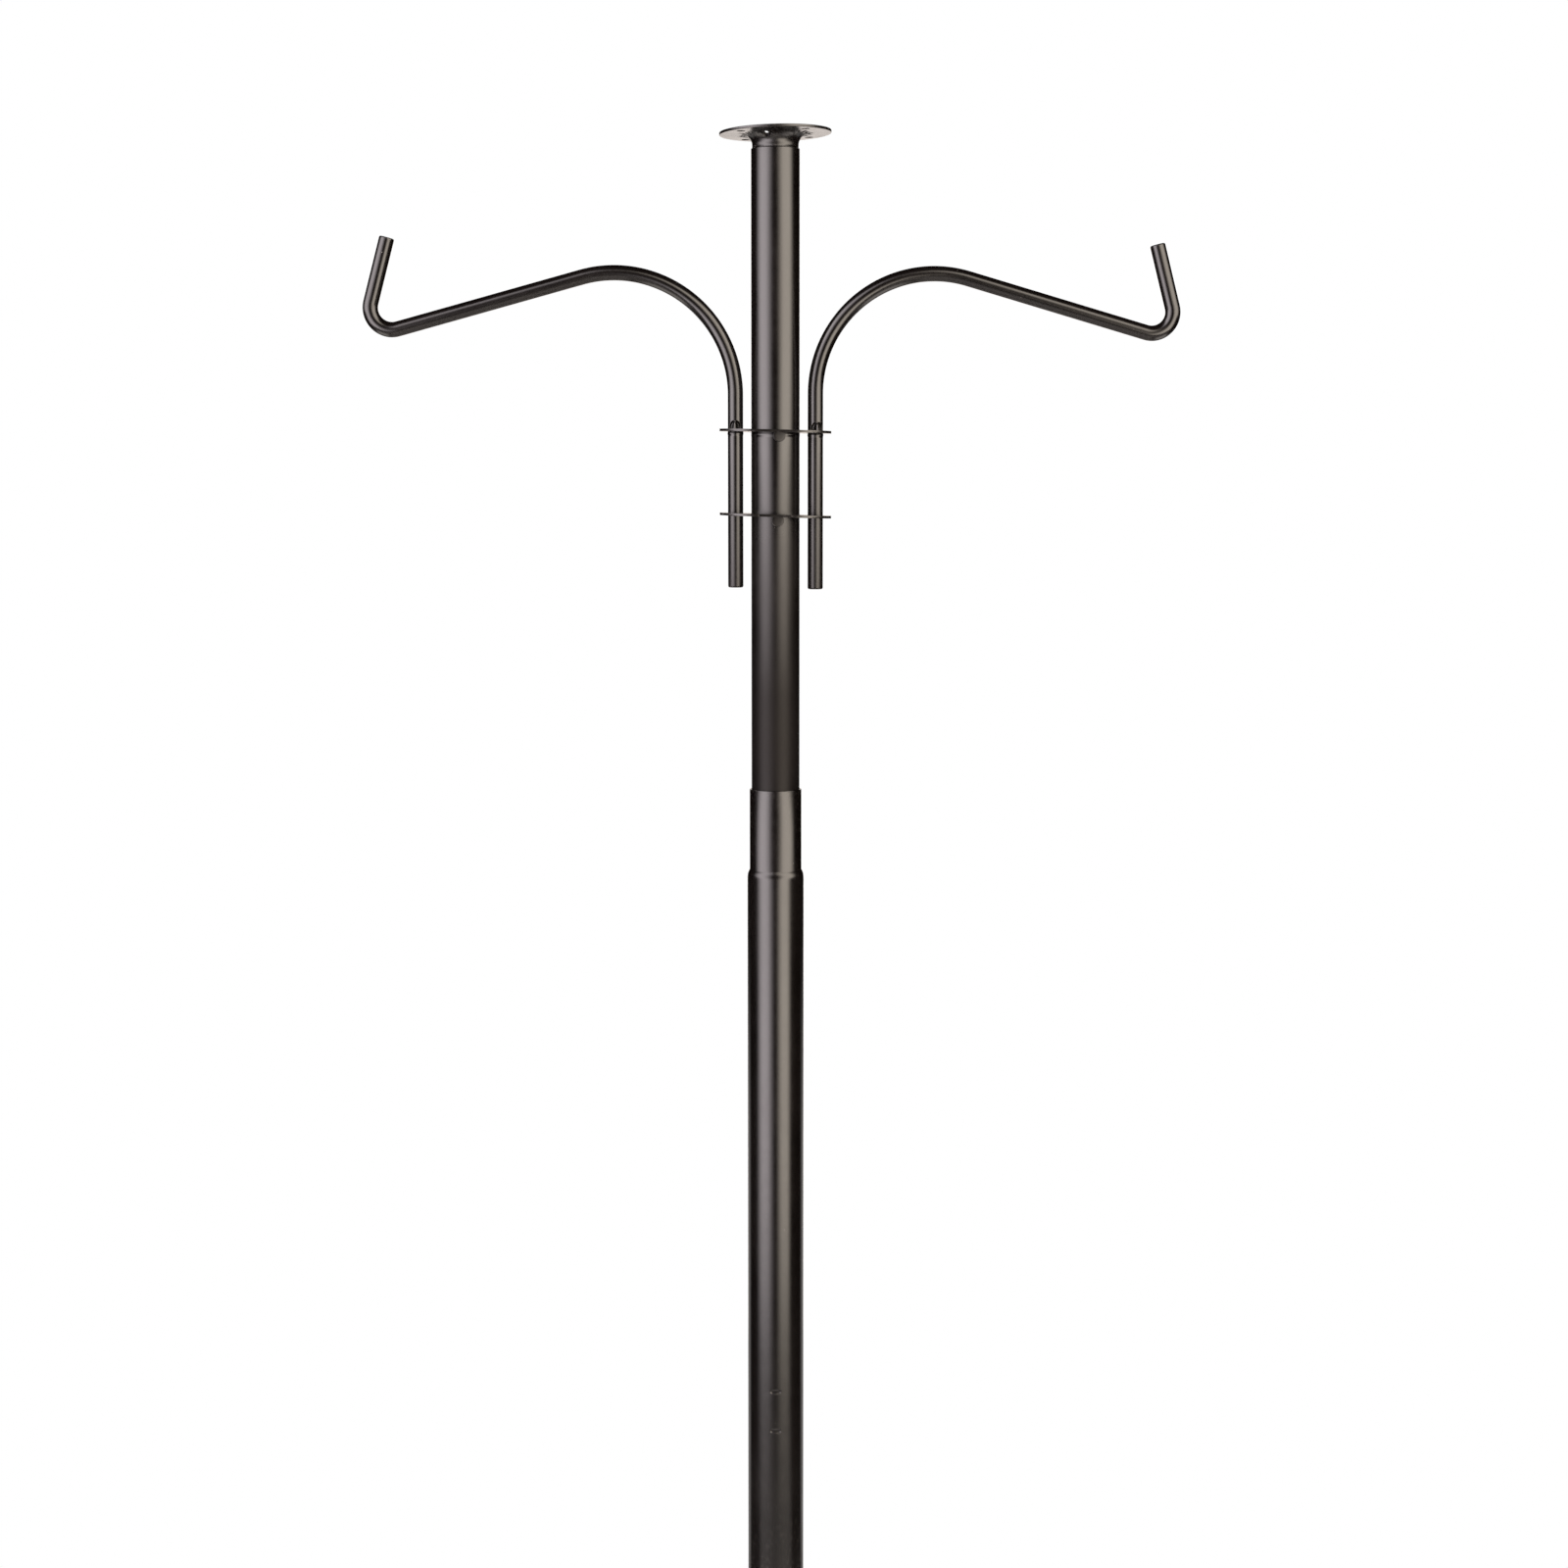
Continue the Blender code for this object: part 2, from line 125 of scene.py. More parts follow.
def soft_box_glow(name, colour, radiance, side_fade, end_fade):
    """Light that is even over the middle of a soft box and falls off towards its edges."""
    material, tree = blank_material(name)
    spread = add_node(tree, "ShaderNodeUVMap", uv_map="spread").outputs["UV"]
    parts = add_node(tree, "ShaderNodeSeparateXYZ", {"Vector": spread}).outputs
    levels = []
    for part, fade in ((parts["X"], side_fade), (parts["Y"], end_fade)):
        for low, high in ((0.0, fade[0]), (1.0, 1.0 - fade[1])):
            ramp = add_node(
                tree,
                "ShaderNodeMapRange",
                {"Value": part, "From Min": low, "From Max": high},
                interpolation_type="SMOOTHSTEP",
            )
            levels.append(ramp.outputs["Result"])
    level = levels[0]
    for other in levels[1:]:
        level = add_node(tree, "ShaderNodeMath", {0: level, 1: other}, operation="MULTIPLY").outputs[0]
    strength = add_node(tree, "ShaderNodeMath", {0: level, 1: radiance}, operation="MULTIPLY")
    glow = add_node(tree, "ShaderNodeEmission", {"Color": (*colour, 1), "Strength": strength.outputs[0]})
    add_node(tree, "ShaderNodeOutputMaterial", {"Surface": glow.outputs[0]})
    return material


def hang_screen(name, mesh, glow, lights_floor=True):
    """Sets a glowing screen in the studio, out of the camera's sight."""
    screen = put(name, mesh, glow)
    screen.visible_camera = False
    screen.visible_diffuse = lights_floor
    screen.visible_shadow = False


def soft_box(name, rows, distance, glow):
    """A curved screen round the pole, from rows of (height, turn at its start, turn at its end)."""
    mesh = bpy.data.meshes.new(name)
    shape = bmesh.new()
    across = 24
    grid = []
    for height, start, end in rows:
        turns = [math.radians(start + (end - start) * i / across) for i in range(across + 1)]
        ring = [(distance * math.sin(turn), -distance * math.cos(turn), height) for turn in turns]
        grid.append([shape.verts.new(point) for point in ring])
    spread = shape.loops.layers.uv.new("spread")
    share = [(height - rows[0][0]) / (rows[-1][0] - rows[0][0]) for height, _, _ in rows]
    for j in range(len(rows) - 1):
        for i in range(across):
            face = shape.faces.new((grid[j][i], grid[j][i + 1], grid[j + 1][i + 1], grid[j + 1][i]))
            for loop, (u, v) in zip(face.loops, ((i, j), (i + 1, j), (i + 1, j + 1), (i, j + 1))):
                loop[spread].uv = (u / across, share[v])
    shape.to_mesh(mesh)
    shape.free()
    hang_screen(name, mesh, glow)


def floor_box(name, x_range, y_range, height, glow):
    """A soft box lying on its back on the floor, for what faces down."""
    mesh = bpy.data.meshes.new(name)
    shape = bmesh.new()
    ring = [(0, 0), (1, 0), (1, 1), (0, 1)]
    face = shape.faces.new([shape.verts.new((x_range[u], y_range[v], height)) for u, v in ring])
    spread = shape.loops.layers.uv.new("spread")
    for loop, (u, v) in zip(face.loops, ring):
        loop[spread].uv = (u, v)
    shape.to_mesh(mesh)
    shape.free()
    hang_screen(name, mesh, glow, lights_floor=False)


cool_glow = soft_box_glow("cool_glow", (1.0, 0.91, 0.93), 7.4, (0.46, 0.41), (0.06, 0.3))
warm_glow = soft_box_glow("warm_glow", (1.0, 0.89, 0.77), 7.2, (0.41, 0.36), (0.06, 0.3))
left_rows = [
    (0.04, -2, -86),
    (1.0, -3, -86),
    (1.25, -8, -104),
    (1.7, -9, -106),
    (2.6, 3, -100),
    (3.8, 3, -96),
]
right_rows = [
    (0.04, 0, 69),
    (1.0, 1, 70),
    (1.25, 4, 97),
    (1.7, 5, 98),
    (2.6, -12, 94),
    (3.8, -12, 90),
]
soft_box("left_soft_box", left_rows, 2.0, cool_glow)
soft_box("right_soft_box", right_rows, 2.0, warm_glow)

card_glow = soft_box_glow("card_glow", (1.0, 0.91, 0.85), 1.7, (0.25, 0.25), (0.02, 0.2))
soft_box("back_card", [(0.0, 162, 198), (2.0, 162, 198)], 2.3, card_glow)
rim_glow = soft_box_glow("rim_glow", (1.0, 0.95, 0.92), 0.6, (0.3, 0.1), (0.05, 0.3))
soft_box("left_rim_card", [(-0.3, -124, -162), (0.6, -124, -162)], 2.1, rim_glow)
soft_box("right_rim_card", [(-0.3, 124, 162), (0.6, 124, 162)], 2.1, rim_glow)
low_glow = soft_box_glow("low_glow", (1.0, 0.93, 0.87), 0.8, (0.15, 0.15), (0.05, 0.3))
soft_box("low_front_card", [(-0.34, -80, 80), (0.06, -80, 80)], 1.9, low_glow)

up_glow = soft_box_glow("up_glow", (1.0, 0.92, 0.86), 2.4, (0.3, 0.3), (0.25, 0.25))
floor_box("left_floor_box", (-1.75, -0.42), (-0.9, 1.3), FLOOR_BOX_HEIGHT, up_glow)
floor_box("right_floor_box", (0.42, 1.75), (-0.9, 1.3), FLOOR_BOX_HEIGHT, up_glow)

floor_shape = bmesh.new()
floor_ring = [
    floor_shape.verts.new(
        (FLOOR_REACH[0] * math.cos(turn), FLOOR_MIDDLE + FLOOR_REACH[1] * math.sin(turn), FLOOR_HEIGHT)
    )
    for turn in np.linspace(0, math.tau, 96, endpoint=False)
]
floor_shape.faces.new(floor_ring)
floor_mesh = bpy.data.meshes.new("floor")
floor_shape.to_mesh(floor_mesh)
floor_shape.free()
floor_paint, tree = blank_material("floor_paint")
place = add_node(tree, "ShaderNodeTexCoord").outputs["Object"]
mottle = add_node(tree, "ShaderNodeTexNoise", {"Vector": place, "Scale": 3.0, "Detail": 4.0})
reach = add_node(tree, "ShaderNodeVectorMath", {0: place}, operation="LENGTH").outputs["Value"]
# Painted pool of light: the floor's colour is pale near its middle and fades almost to black farther
# out, for the pole to mirror.
painted_light_pool = add_node(
    tree,
    "ShaderNodeMapRange",
    {"Value": reach, "From Min": 1.2, "From Max": 2.3, "To Min": 0.60, "To Max": 0.06},
    interpolation_type="SMOOTHSTEP",
)
tones = {"Factor": mottle.outputs["Fac"], "A": (0.94, 0.94, 0.93, 1), "B": (1, 1, 0.99, 1)}
tone = add_node(tree, "ShaderNodeMix", tones, data_type="RGBA")
shades = {0: tone.outputs["Result"], 1: painted_light_pool.outputs["Result"]}
shade = add_node(tree, "ShaderNodeVectorMath", shades, operation="MULTIPLY")
paint = add_node(tree, "ShaderNodeBsdfDiffuse", {"Color": shade.outputs[0]})
pale = add_node(tree, "ShaderNodeEmission", {"Color": tone.outputs["Result"], "Strength": 0.93})
looked_at = add_node(tree, "ShaderNodeLightPath").outputs["Is Camera Ray"]
share = add_node(tree, "ShaderNodeMath", {0: looked_at, 1: FLOOR_SEEN_PALE}, operation="MULTIPLY")
mixed = {0: share.outputs[0], 1: paint.outputs[0], 2: pale.outputs[0]}
blend = add_node(tree, "ShaderNodeMixShader", mixed)
add_node(tree, "ShaderNodeOutputMaterial", {"Surface": blend.outputs[0]})
floor = put("floor", floor_mesh, floor_paint)

world = bpy.data.worlds.new("white_room")
bpy.context.scene.world = world
world.use_nodes = True
world.node_tree.nodes.clear()
seen = add_node(world.node_tree, "ShaderNodeLightPath").outputs["Is Camera Ray"]
backdrop = add_node(world.node_tree, "ShaderNodeBackground", {"Color": (1, 1, 1, 1), "Strength": seen})
add_node(world.node_tree, "ShaderNodeOutputWorld", {"Surface": backdrop.outputs[0]})


# ------------------------------------------------------------------------------------------
# Ground auger
# An 8 mm steel rod wound into a right-handed corkscrew that pulls the pole into the soil. It
# is bent hot, cut to a blunt point and powder coated, and its shank is fixed in the plug.
# ------------------------------------------------------------------------------------------

AUGER_ROD = 4.0 * MM
AUGER_RADIUS = 19 * MM
AUGER_PITCH = 32 * MM
AUGER_TURNS = 4
AUGER_STEPS = 60
AUGER_SHANK = 24 * MM
PEEL_HEIGHT = 11e-6
GRIT_HEIGHT = 1.6e-6
SPECK_HEIGHT = 30e-6
CHIP_DEPTH = 40e-6
DUST_COLOUR = (0.30, 0.28, 0.26, 1)
PRIMER_COLOUR = (0.085, 0.08, 0.076, 1)
DULL_ROUGHNESS = 0.23
# Painted shade: the specular tint that darkens the reflection on the dull lower part of a coat.
PAINTED_SHADE_TINT = (0.28, 0.27, 0.265, 1)


def powder_coat(name, colour, roughness, peel=1.0, dust=1.0, painted_shade_sheen=1.0, dulled_and_shaded=None):
    """Black polyester powder: orange peel, a fine grit, cloudy gloss, dust specks, rubbed edges.

    The pair of heights, if given, is where the coat goes from dull, with painted shade darkening its
    reflection, below, to its full gloss. A sheen level under one darkens the reflection all over with
    painted shade.
    """
    material, tree = blank_material(name)
    place = add_node(tree, "ShaderNodeTexCoord").outputs["Object"]

    def noise(scale, detail):
        inputs = {"Vector": place, "Scale": scale, "Detail": detail}
        return add_node(tree, "ShaderNodeTexNoise", inputs).outputs["Fac"]

    def remap(value, low, high, to_low=0.0, to_high=1.0):
        inputs = {"Value": value, "From Min": low, "From Max": high}
        inputs.update({"To Min": to_low, "To Max": to_high})
        return add_node(tree, "ShaderNodeMapRange", inputs).outputs["Result"]

    def math_node(operation, first, second):
        return add_node(tree, "ShaderNodeMath", {0: first, 1: second}, operation=operation).outputs[0]

    def mix(factor, first, second):
        inputs = {"Factor": factor, "A": first, "B": second}
        return add_node(tree, "ShaderNodeMix", inputs, data_type="RGBA").outputs["Result"]

    clouds = noise(28.0, 3.0)
    fine_clouds = noise(240.0, 2.0)
    cells = add_node(tree, "ShaderNodeTexVoronoi", {"Vector": place, "Scale": 210.0})
    pick = add_node(tree, "ShaderNodeSeparateColor", {"Color": cells.outputs["Color"]}).outputs["Red"]
    dot = remap(cells.outputs["Distance"], 0.045, 0.02)
    specks = math_node("MULTIPLY", dot, remap(pick, 1.0 - 0.11 * dust, 1.001 - 0.11 * dust))
    rubbed = add_node(tree, "ShaderNodeAttribute", attribute_name="wear").outputs["Fac"]
    chips = math_node("MULTIPLY", rubbed, remap(noise(520.0, 3.0), 0.56, 0.68))

    lighter = tuple(1.5 * part for part in colour)
    shade = mix(remap(clouds, 0.35, 0.65), (*colour, 1), (*lighter, 1))
    shade = mix(math_node("MULTIPLY", specks, 0.55), shade, DUST_COLOUR)
    shade = mix(math_node("MULTIPLY", chips, 0.5), shade, PRIMER_COLOUR)

    gloss = remap(clouds, 0.3, 0.7, roughness - 0.025, roughness + 0.025)
    gloss = math_node("ADD", gloss, remap(fine_clouds, 0.3, 0.7, -0.015, 0.015))
    gloss = math_node("ADD", gloss, math_node("MULTIPLY", specks, 0.3))
    # A sheen level below one darkens the reflection with painted shade.
    tint = (painted_shade_sheen, painted_shade_sheen, painted_shade_sheen, 1)
    if dulled_and_shaded:
        height = add_node(tree, "ShaderNodeSeparateXYZ", {"Vector": place}).outputs["Z"]
        glossy_and_unshaded = remap(height, dulled_and_shaded[0], dulled_and_shaded[1])
        gloss = math_node("ADD", gloss, remap(glossy_and_unshaded, 0.0, 1.0, DULL_ROUGHNESS, 0.0))
        # Painted shade: below the given heights the reflection is darkened as well as roughened.
        tint = mix(glossy_and_unshaded, PAINTED_SHADE_TINT, tint)

    orange_peel = noise(560.0, 1.0)
    grit = noise(3800.0, 1.0)
    relief = math_node("MULTIPLY", orange_peel, PEEL_HEIGHT * peel)
    relief = math_node("ADD", relief, math_node("MULTIPLY", grit, GRIT_HEIGHT * peel))
    relief = math_node("ADD", relief, math_node("MULTIPLY", specks, SPECK_HEIGHT))
    relief = math_node("SUBTRACT", relief, math_node("MULTIPLY", chips, CHIP_DEPTH))
    bump = add_node(tree, "ShaderNodeBump", {"Strength": 1.0, "Distance": 1.0, "Height": relief})
    shader = add_node(
        tree,
        "ShaderNodeBsdfPrincipled",
        {
            "Base Color": shade,
            "Roughness": gloss,
            "IOR": 1.5,
            "Specular Tint": tint,
            "Normal": bump.outputs["Normal"],
        },
    )
    add_node(tree, "ShaderNodeOutputMaterial", {"Surface": shader.outputs[0]})
    return material


def tree_socket(tree, name, kind, default=None):
    socket = tree.interface.new_socket(name, in_out="INPUT", socket_type=kind)
    if default is not None:
        socket.default_value = default
    return socket


def end_tree(tree, geometry, coat, name):
    """Makes what a tree grew real, coats it and hands it out."""
    whole = add_node(tree, "GeometryNodeRealizeInstances", {"Geometry": geometry})
    inputs = {"Geometry": whole.outputs["Geometry"], "Material": coat}
    coated = add_node(tree, "GeometryNodeSetMaterial", inputs)
    add_node(tree, "NodeGroupOutput", {name: coated.outputs["Geometry"]})


def rod_tree():
    """A round rod along its guide, with rounded cut ends and, if asked, a tapered tip."""
    tree = bpy.data.node_groups.new("rod_along_guide", "GeometryNodeTree")
    tree_socket(tree, "Guide", "NodeSocketGeometry")
    tree_socket(tree, "Rod Radius", "NodeSocketFloat", 4 * MM)
    tree_socket(tree, "Edge Round", "NodeSocketFloat", 0.8 * MM)
    tree_socket(tree, "Taper Length", "NodeSocketFloat", 0.01 * MM)
    tree_socket(tree, "Tip Share", "NodeSocketFloat", 1.0)
    tree_socket(tree, "Sides", "NodeSocketInt", 48)
    tree_socket(tree, "Coat", "NodeSocketMaterial")
    tree.interface.new_socket("Rod", in_out="OUTPUT", socket_type="NodeSocketGeometry")
    given = add_node(tree, "NodeGroupInput").outputs

    def calculate(operation, first, second=0.0):
        return add_node(tree, "ShaderNodeMath", {0: first, 1: second}, operation=operation).outputs[0]

    along = add_node(tree, "GeometryNodeSplineParameter").outputs["Length"]
    total = add_node(tree, "GeometryNodeSplineLength").outputs["Length"]
    to_tip = calculate("SUBTRACT", total, along)
    to_end = calculate("MINIMUM", calculate("MINIMUM", along, to_tip), given["Edge Round"])
    reach = calculate("SUBTRACT", calculate("MULTIPLY", given["Edge Round"], 2.0), to_end)
    bulge = calculate("SQRT", calculate("MAXIMUM", calculate("MULTIPLY", to_end, reach), 0.0))
    radius = calculate("ADD", calculate("SUBTRACT", given["Rod Radius"], given["Edge Round"]), bulge)
    taper = add_node(
        tree,
        "ShaderNodeMapRange",
        {
            "Value": to_tip,
            "From Min": 0.0,
            "From Max": given["Taper Length"],
            "To Min": given["Tip Share"],
            "To Max": 1.0,
        },
    )
    radius = calculate("MULTIPLY", radius, taper.outputs["Result"])
    circle = {"Resolution": given["Sides"], "Radius": 1.0}
    ring = add_node(tree, "GeometryNodeCurvePrimitiveCircle", circle).outputs["Curve"]
    sweep = {"Curve": given["Guide"], "Profile Curve": ring, "Scale": radius, "Fill Caps": True}
    rod = add_node(tree, "GeometryNodeCurveToMesh", sweep)
    end_tree(tree, rod.outputs["Mesh"], given["Coat"], "Rod")
    return tree


def grow(name, start, tree, values):
    """Runs a node tree on a curve or mesh and returns what it makes as a plain mesh."""
    source = bpy.data.objects.new(f"{name}_source", start)
    bpy.context.scene.collection.objects.link(source)
    modifier = source.modifiers.new("shape", "NODES")
    modifier.node_group = tree
    for socket in tree.interface.items_tree:
        if socket.in_out == "INPUT" and socket.name in values:
            modifier[socket.identifier] = values[socket.name]
    evaluated = source.evaluated_get(bpy.context.evaluated_depsgraph_get())
    mesh = bpy.data.meshes.new_from_object(evaluated)
    mesh.name = name
    bpy.data.objects.remove(source, do_unlink=True)
    return mesh


def guide_curve(name, points):
    curve = bpy.data.curves.new(name, "CURVE")
    curve.dimensions = "3D"
    spline = curve.splines.new("POLY")
    spline.points.add(len(points) - 1)
    for point, at in zip(spline.points, points):
        point.co = (*at, 1.0)
    return curve


def close_up(mesh, weld=1e-6):
    """Merges doubles and points every face outwards."""
    shape = bmesh.new()
    shape.from_mesh(mesh)
    bmesh.ops.remove_doubles(shape, verts=shape.verts, dist=weld)
    bmesh.ops.dissolve_degenerate(shape, edges=shape.edges, dist=weld)
    bmesh.ops.recalc_face_normals(shape, faces=shape.faces)
    shape.to_mesh(mesh)
    shape.free()


def mark_wear(mesh, blunt=math.radians(9), sharp=math.radians(22)):
    """Stores how sharp the outward edges round each point are, for the rubbed coat there."""
    shape = bmesh.new()
    shape.from_mesh(mesh)
    wear = np.zeros(len(shape.verts))
    for edge in shape.edges:
        if len(edge.link_faces) == 2:
            level = (edge.calc_face_angle_signed(0.0) - blunt) / (sharp - blunt)
            for vertex in edge.verts:
                wear[vertex.index] = max(wear[vertex.index], min(1.0, level))
    shape.free()
    layer = mesh.attributes.new("wear", "FLOAT", "POINT")
    layer.data.foreach_set("value", wear.astype(np.float32))


def fit_piece(name, mesh, material, body, sharp=32):
    """Smooths a mesh but for its corners and hangs it on the frame in place of its CAD node."""
    mark_wear(mesh)
    mesh.shade_smooth()
    mesh.set_sharp_from_angle(angle=math.radians(sharp))
    piece = put(name, mesh, material)
    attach(piece, body)
    return piece


tube_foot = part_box("ground_tube")[0].z
rod_growth = rod_tree()
auger_coat = powder_coat("auger_coat", (0.0032, 0.0026, 0.0023), 0.34, peel=1.6)

auger_points = [
    (0.0, 0.0, tube_foot + AUGER_SHANK - drop) for drop in (0.0, 0.1 * MM, 0.3 * MM, 0.6 * MM, 1.0 * MM)
]
auger_points.append((0.0, 0.0, tube_foot - AUGER_ROD))
for i in range(AUGER_TURNS * AUGER_STEPS + 1):
    turns = i / AUGER_STEPS
    share = min(1.0, turns)
    swing = AUGER_RADIUS * share * share * (3 - 2 * share)
    angle = -math.tau * turns
    height = tube_foot - 2 * AUGER_ROD - AUGER_PITCH * turns
    auger_points.append((swing * math.cos(angle), swing * math.sin(angle), height))
auger_mesh = grow(
    "auger",
    guide_curve("auger_guide", auger_points),
    rod_growth,
    {
        "Rod Radius": AUGER_ROD,
        "Edge Round": 0.8 * MM,
        "Taper Length": 16 * MM,
        "Tip Share": 0.55,
        "Sides": 40,
        "Coat": auger_coat,
    },
)
close_up(auger_mesh)
auger = fit_piece("auger", auger_mesh, auger_coat, "ground_section")
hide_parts("ground_auger")


# ------------------------------------------------------------------------------------------
# Auger plug
# A turned steel disc pressed into the foot of the ground tube, with a central hole that the
# auger's shank is welded into. Its rims are chamfered and it is coated with the auger.
# ------------------------------------------------------------------------------------------


def rounded_outline(corners, steps=4):
    """A closed outline in (radius, height), with each corner given as (radius, height, rounding)."""
    outline = []
    count = len(corners)
    for i, (radius, height, rounding) in enumerate(corners):
        corner = Vector((radius, height))
        if not rounding:
            outline.append((radius, height))
            continue
        back = (Vector(corners[i - 1][:2]) - corner).normalized()
        ahead = (Vector(corners[(i + 1) % count][:2]) - corner).normalized()
        half = back.angle(ahead) / 2
        centre = corner + (back + ahead).normalized() * rounding / math.sin(half)
        start = corner + back * rounding / math.tan(half) - centre
        end = corner + ahead * rounding / math.tan(half) - centre
        for k in range(steps + 1):
            spoke = (start.lerp(end, k / steps)).normalized() * rounding
            outline.append(tuple(centre + spoke))
    return outline


def lathe(name, outline, turns):
    """A closed (radius, height) outline carried round the pole's axis through the given turns."""
    mesh = bpy.data.meshes.new(name)
    points = [(r * math.cos(t), r * math.sin(t), z) for r, z in outline for t in turns]
    across = len(turns)
    faces = []
    for j in range(len(outline)):
        here, above = j * across, ((j + 1) % len(outline)) * across
        for i in range(across):
            beside = (i + 1) % across
            faces.append((here + i, here + beside, above + beside, above + i))
    mesh.from_pydata(points, [], faces)
    close_up(mesh)
    return mesh


def even_turns(count):
    return [math.tau * i / count for i in range(count)]


PLUG_BORE = AUGER_ROD + 0.25 * MM

plug_low, plug_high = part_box("auger_plug")
plug_outline = rounded_outline(
    [
        (PLUG_BORE, plug_low.z, 0.5 * MM),
        (plug_high.x, plug_low.z, 0.9 * MM),
        (plug_high.x, plug_high.z, 0.4 * MM),
        (PLUG_BORE, plug_high.z, 0.5 * MM),
    ]
)
plug_mesh = lathe("plug", plug_outline, even_turns(96))
plug = fit_piece("plug", plug_mesh, auger_coat, "ground_section")
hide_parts("auger_plug")


# ------------------------------------------------------------------------------------------
# Necked tubes
# The ground and middle tubes are welded steel tube. Each upper end is drawn in to a neck that
# sleeves the tube above, and two pairs of stops are punched in the wall for it to stand on.
# ------------------------------------------------------------------------------------------

NECK_STEP = 1.25 * MM
NECK_LENGTH = 43 * MM
SHOULDER_LENGTH = 5.6 * MM
STOP_WIDTH = 5.2 * MM
STOP_HEIGHT = 2.1 * MM
STOP_SPACING = 21.8 * MM
STOP_DENT = 0.4 * MM
STOP_LUG = 1.55 * MM
STOP_GAP = 0.3 * MM
FOOT_CHAMFER = 0.2 * MM
TUBE_WALLS = {"ground_tube": 1.0 * MM, "middle_tube": 0.8 * MM}

tube_coat = powder_coat("tube_coat", (0.0018, 0.0013, 0.0012), 0.21)


def turns_with_fine_sides(coarse=72, fine=34, reach=math.radians(15)):
    """Turns round a tube, closer together at its front and back."""
    turns = []
    for middle in (math.pi / 2, 3 * math.pi / 2):
        turns += [middle - reach + 2 * reach * i / fine for i in range(fine)]
        sweep = math.pi - 2 * reach
        turns += [middle + reach + sweep * i / (coarse // 2) for i in range(coarse // 2)]
    return turns


def necked_tube(name, radius, wall, foot, rim, stop_heights):
    """The tube with its neck, its rounded mouth and foot, and its punched stops."""
    neck = radius - NECK_STEP
    shoulder_top = rim - NECK_LENGTH
    levels = []
    for height in sorted(stop_heights):
        levels += [height + STOP_HEIGHT * offset for offset in np.linspace(-1.1, 1.1, 25)]
    shoulder = []
    for i in range(17):
        share = i / 16
        spread = NECK_STEP * (1 - (1 - share) ** 2.8)
        shoulder.append((neck + spread, shoulder_top - SHOULDER_LENGTH * share))
    mouth = 0.3 * wall
    curl = [
        (mouth * (1 - math.sin(a)), rim - mouth * (1 - math.cos(a)))
        for a in np.linspace(0, math.pi / 2, 5)
    ]
    outline = [(neck - inset, height) for inset, height in curl]
    outline += shoulder
    outline += [(radius, height) for height in reversed(levels)]
    outline += [(radius, foot + FOOT_CHAMFER), (radius - FOOT_CHAMFER, foot)]
    outline += [(radius - wall + FOOT_CHAMFER, foot), (radius - wall, foot + FOOT_CHAMFER)]
    outline += [(radius - wall, height) for height in levels]
    outline += [(r - wall, z) for r, z in reversed(shoulder)]
    outline += [(neck - wall + inset, height) for inset, height in reversed(curl)]
    mesh = lathe(name, outline, turns_with_fine_sides())
    for height in stop_heights:
        punch_stop(mesh, radius, wall, height)
    return mesh


def punch_stop(mesh, radius, wall, height):
    """Pushes a slot-shaped dent in from outside, front and back, and a deeper lug on the inside."""
    for vertex in mesh.vertices:
        x, y, z = vertex.co
        if abs(z - height) > 1.2 * STOP_HEIGHT or abs(x) > STOP_WIDTH:
            continue
        past = max(0.0, abs(x) - (STOP_WIDTH - STOP_HEIGHT) / 2)
        away = math.hypot(past, z - height) / (STOP_HEIGHT / 2)
        level = max(0.0, min(1.0, 1.75 - 1.25 * away))
        level = level * level * (3 - 2 * level)
        reach = math.hypot(x, y)
        depth = STOP_DENT if reach > radius - wall / 2 else STOP_LUG
        vertex.co.x -= depth * level * x / reach
        vertex.co.y -= depth * level * y / reach


for part, above, body in (
    ("ground_tube", "middle_tube", "ground_section"),
    ("middle_tube", "upper_tube", "middle_section"),
):
    low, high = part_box(part)
    rests_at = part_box(above)[0].z - STOP_GAP - STOP_HEIGHT / 2
    stop_heights = (rests_at, rests_at - STOP_SPACING)
    mesh = necked_tube(f"{part}_coated", high.y, TUBE_WALLS[part], low.z, high.z, stop_heights)
    piece = fit_piece(f"{part}_coated", mesh, tube_coat, body)
    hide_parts(part)


# ------------------------------------------------------------------------------------------
# Upper tube
# One inch steel tube, cut square, with a small chamfer round its mouth and a bead of coat
# that ran down to the upper plate. The end that slides in the middle tube is dull and darkened with
# painted shade.
# ------------------------------------------------------------------------------------------

UPPER_WALL = 0.8 * MM
BEAD = 0.1 * MM
BEAD_SPAN = (0.4 * MM, 3.4 * MM)

# Towards its lower end the tube's coat is rougher, and painted shade darkens its reflection.
upper_coat = powder_coat("upper_coat", (0.0018, 0.0013, 0.0012), 0.20, dulled_and_shaded=(1.07, 1.20))

